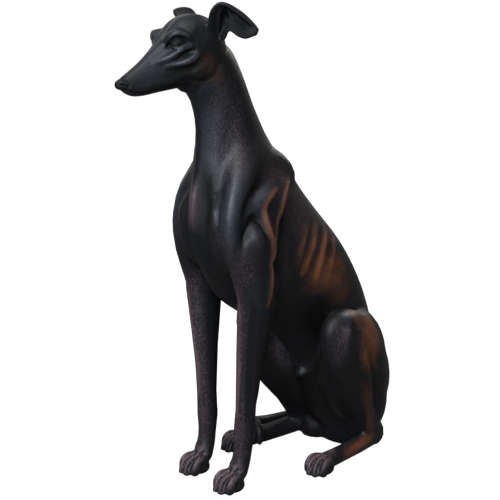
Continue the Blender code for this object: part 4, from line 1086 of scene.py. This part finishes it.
def worn_bronze():
    """Near-black satin paint, rubbed to rust and mauve, with painted shade in hollows, lines and lower body,
    pale painted highlights and a fine short-haired grain.
    """
    look = bpy.data.materials.new("worn_bronze")
    look.use_nodes = True
    tree = look.node_tree
    nodes, links = tree.nodes, tree.links
    shader = nodes["Principled BSDF"]

    def node(kind, **values):
        made = nodes.new(kind)
        for key, value in values.items():
            setattr(made, key, value)
        return made

    def plug(value, socket):
        if hasattr(value, "links"):
            links.new(value, socket)
        else:
            socket.default_value = value

    def attribute(name):
        return node("ShaderNodeAttribute", attribute_name=name).outputs["Fac"]

    place = node("ShaderNodeTexCoord").outputs["Object"]

    def noise(scale, detail=3, rough=0.55, stretch=None):
        made = node("ShaderNodeTexNoise")
        made.inputs["Scale"].default_value = scale
        made.inputs["Detail"].default_value = detail
        made.inputs["Roughness"].default_value = rough
        where = place
        if stretch:
            mapping = node("ShaderNodeMapping")
            links.new(place, mapping.inputs["Vector"])
            mapping.inputs["Scale"].default_value = stretch
            where = mapping.outputs["Vector"]
        links.new(where, made.inputs["Vector"])
        return made.outputs["Fac"]

    def ranged(value, low, high, out_low=0.0, out_high=1.0):
        made = node("ShaderNodeMapRange")
        made.interpolation_type = "SMOOTHSTEP"
        plug(value, made.inputs["Value"])
        ends = {"From Min": low, "From Max": high, "To Min": out_low, "To Max": out_high}
        for name, number in ends.items():
            made.inputs[name].default_value = number
        return made.outputs["Result"]

    def maths(kind, one, other=0.0, third=0.0):
        made = node("ShaderNodeMath", operation=kind)
        for value, socket in zip((one, other, third), made.inputs):
            plug(value, socket)
        return made.outputs["Value"]

    def mixed(share, one, other):
        made = node("ShaderNodeMix", data_type="RGBA")
        plug(share, made.inputs["Factor"])
        plug(one, made.inputs["A"])
        plug(other, made.inputs["B"])
        return made.outputs["Result"]

    def blend(*parts):
        """The sum of several values, each given with its share."""
        total = 0.0
        for value, share in parts:
            total = maths("MULTIPLY_ADD", value, share, total)
        return total

    # Specks, broad patches, and ticks that lie down like short hair.
    speckle = noise(560, 3, 0.7)
    patches = noise(22, 3, 0.6)
    ticks = noise(1.0, 2, 0.6, stretch=(760, 760, 170))
    streaks = noise(1.0, 2, 0.5, stretch=(120, 120, 36))
    grain = ranged(blend((speckle, 1.0), (ticks, 0.6)), 0.70, 1.00)

    # Where the form has edges and hollows; the hollows and the dark lines get painted shade.
    edge = ranged(attribute("edge"), 0.01, 0.07)
    hollow = ranged(attribute("form"), -0.04, -0.35)
    painted_shade_mask = maths("MAXIMUM", hollow, attribute("dark"))

    coat = mixed(ranged(patches, 0.35, 0.65), BLUISH_BLACK, GREY_BLACK)
    # Painted shade: darker brown-black on the lower body.
    coat = mixed(attribute("lower_shade"), coat, SHADE_BROWN_BLACK)
    coat = mixed(maths("MULTIPLY", grain, 0.30), coat, DUST)
    # Painted highlight: pale blue-grey laid into the colour where the glossy strokes lie, broken by grain and
    # streaks.
    highlight_breakup = ranged(blend((grain, 0.8), (streaks, 1.0)), 0.4, 1.3, 0.3, 0.9)
    coat = mixed(maths("MULTIPLY", attribute("gloss_and_highlight"), highlight_breakup), coat, PAINTED_HIGHLIGHT_GREY)
    flecks = ranged(blend((speckle, 0.7), (ticks, 0.5)), 0.60, 0.70, 0.03, 1.0)
    flecks = blend((flecks, 1.0), (edge, 0.7))
    coat = mixed(maths("MULTIPLY", attribute("mauve"), flecks), coat, MAUVE_FLECK)
    rusted = ranged(blend((speckle, 0.6), (patches, 1.0)), 0.45, 0.95)
    coat = mixed(maths("MULTIPLY", attribute("rust"), rusted), coat, RUST_BROWN)
    coat = mixed(maths("MULTIPLY", edge, 0.12), coat, WORN_EDGE)
    # Painted shade: near-black in the hollows of the form and along the dark lines.
    coat = mixed(maths("MULTIPLY", painted_shade_mask, 0.85), coat, PAINTED_SHADE_BLACK)
    links.new(coat, shader.inputs["Base Color"])

    shine = blend((attribute("gloss_and_highlight"), 1.0), (painted_shade_mask, -1.0), (speckle, -0.25))
    satin = ranged(shine, -0.1, 0.8, 0.50, 0.38)
    links.new(blend((satin, 1.0), (attribute("dark"), 0.4)), shader.inputs["Roughness"])
    shader.inputs["Specular IOR Level"].default_value = 0.20

    bump = node("ShaderNodeBump")
    bump.inputs["Strength"].default_value = 0.5
    bump.inputs["Distance"].default_value = 0.0007
    links.new(blend((speckle, 0.5), (ticks, 0.8)), bump.inputs["Height"])
    links.new(bump.outputs["Normal"], shader.inputs["Normal"])
    return look


camera()
studio()
greyhound = carved_figure()
greyhound.name = "greyhound_skin"
greyhound.data.materials.append(worn_bronze())
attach(greyhound, "root")
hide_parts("greyhound")
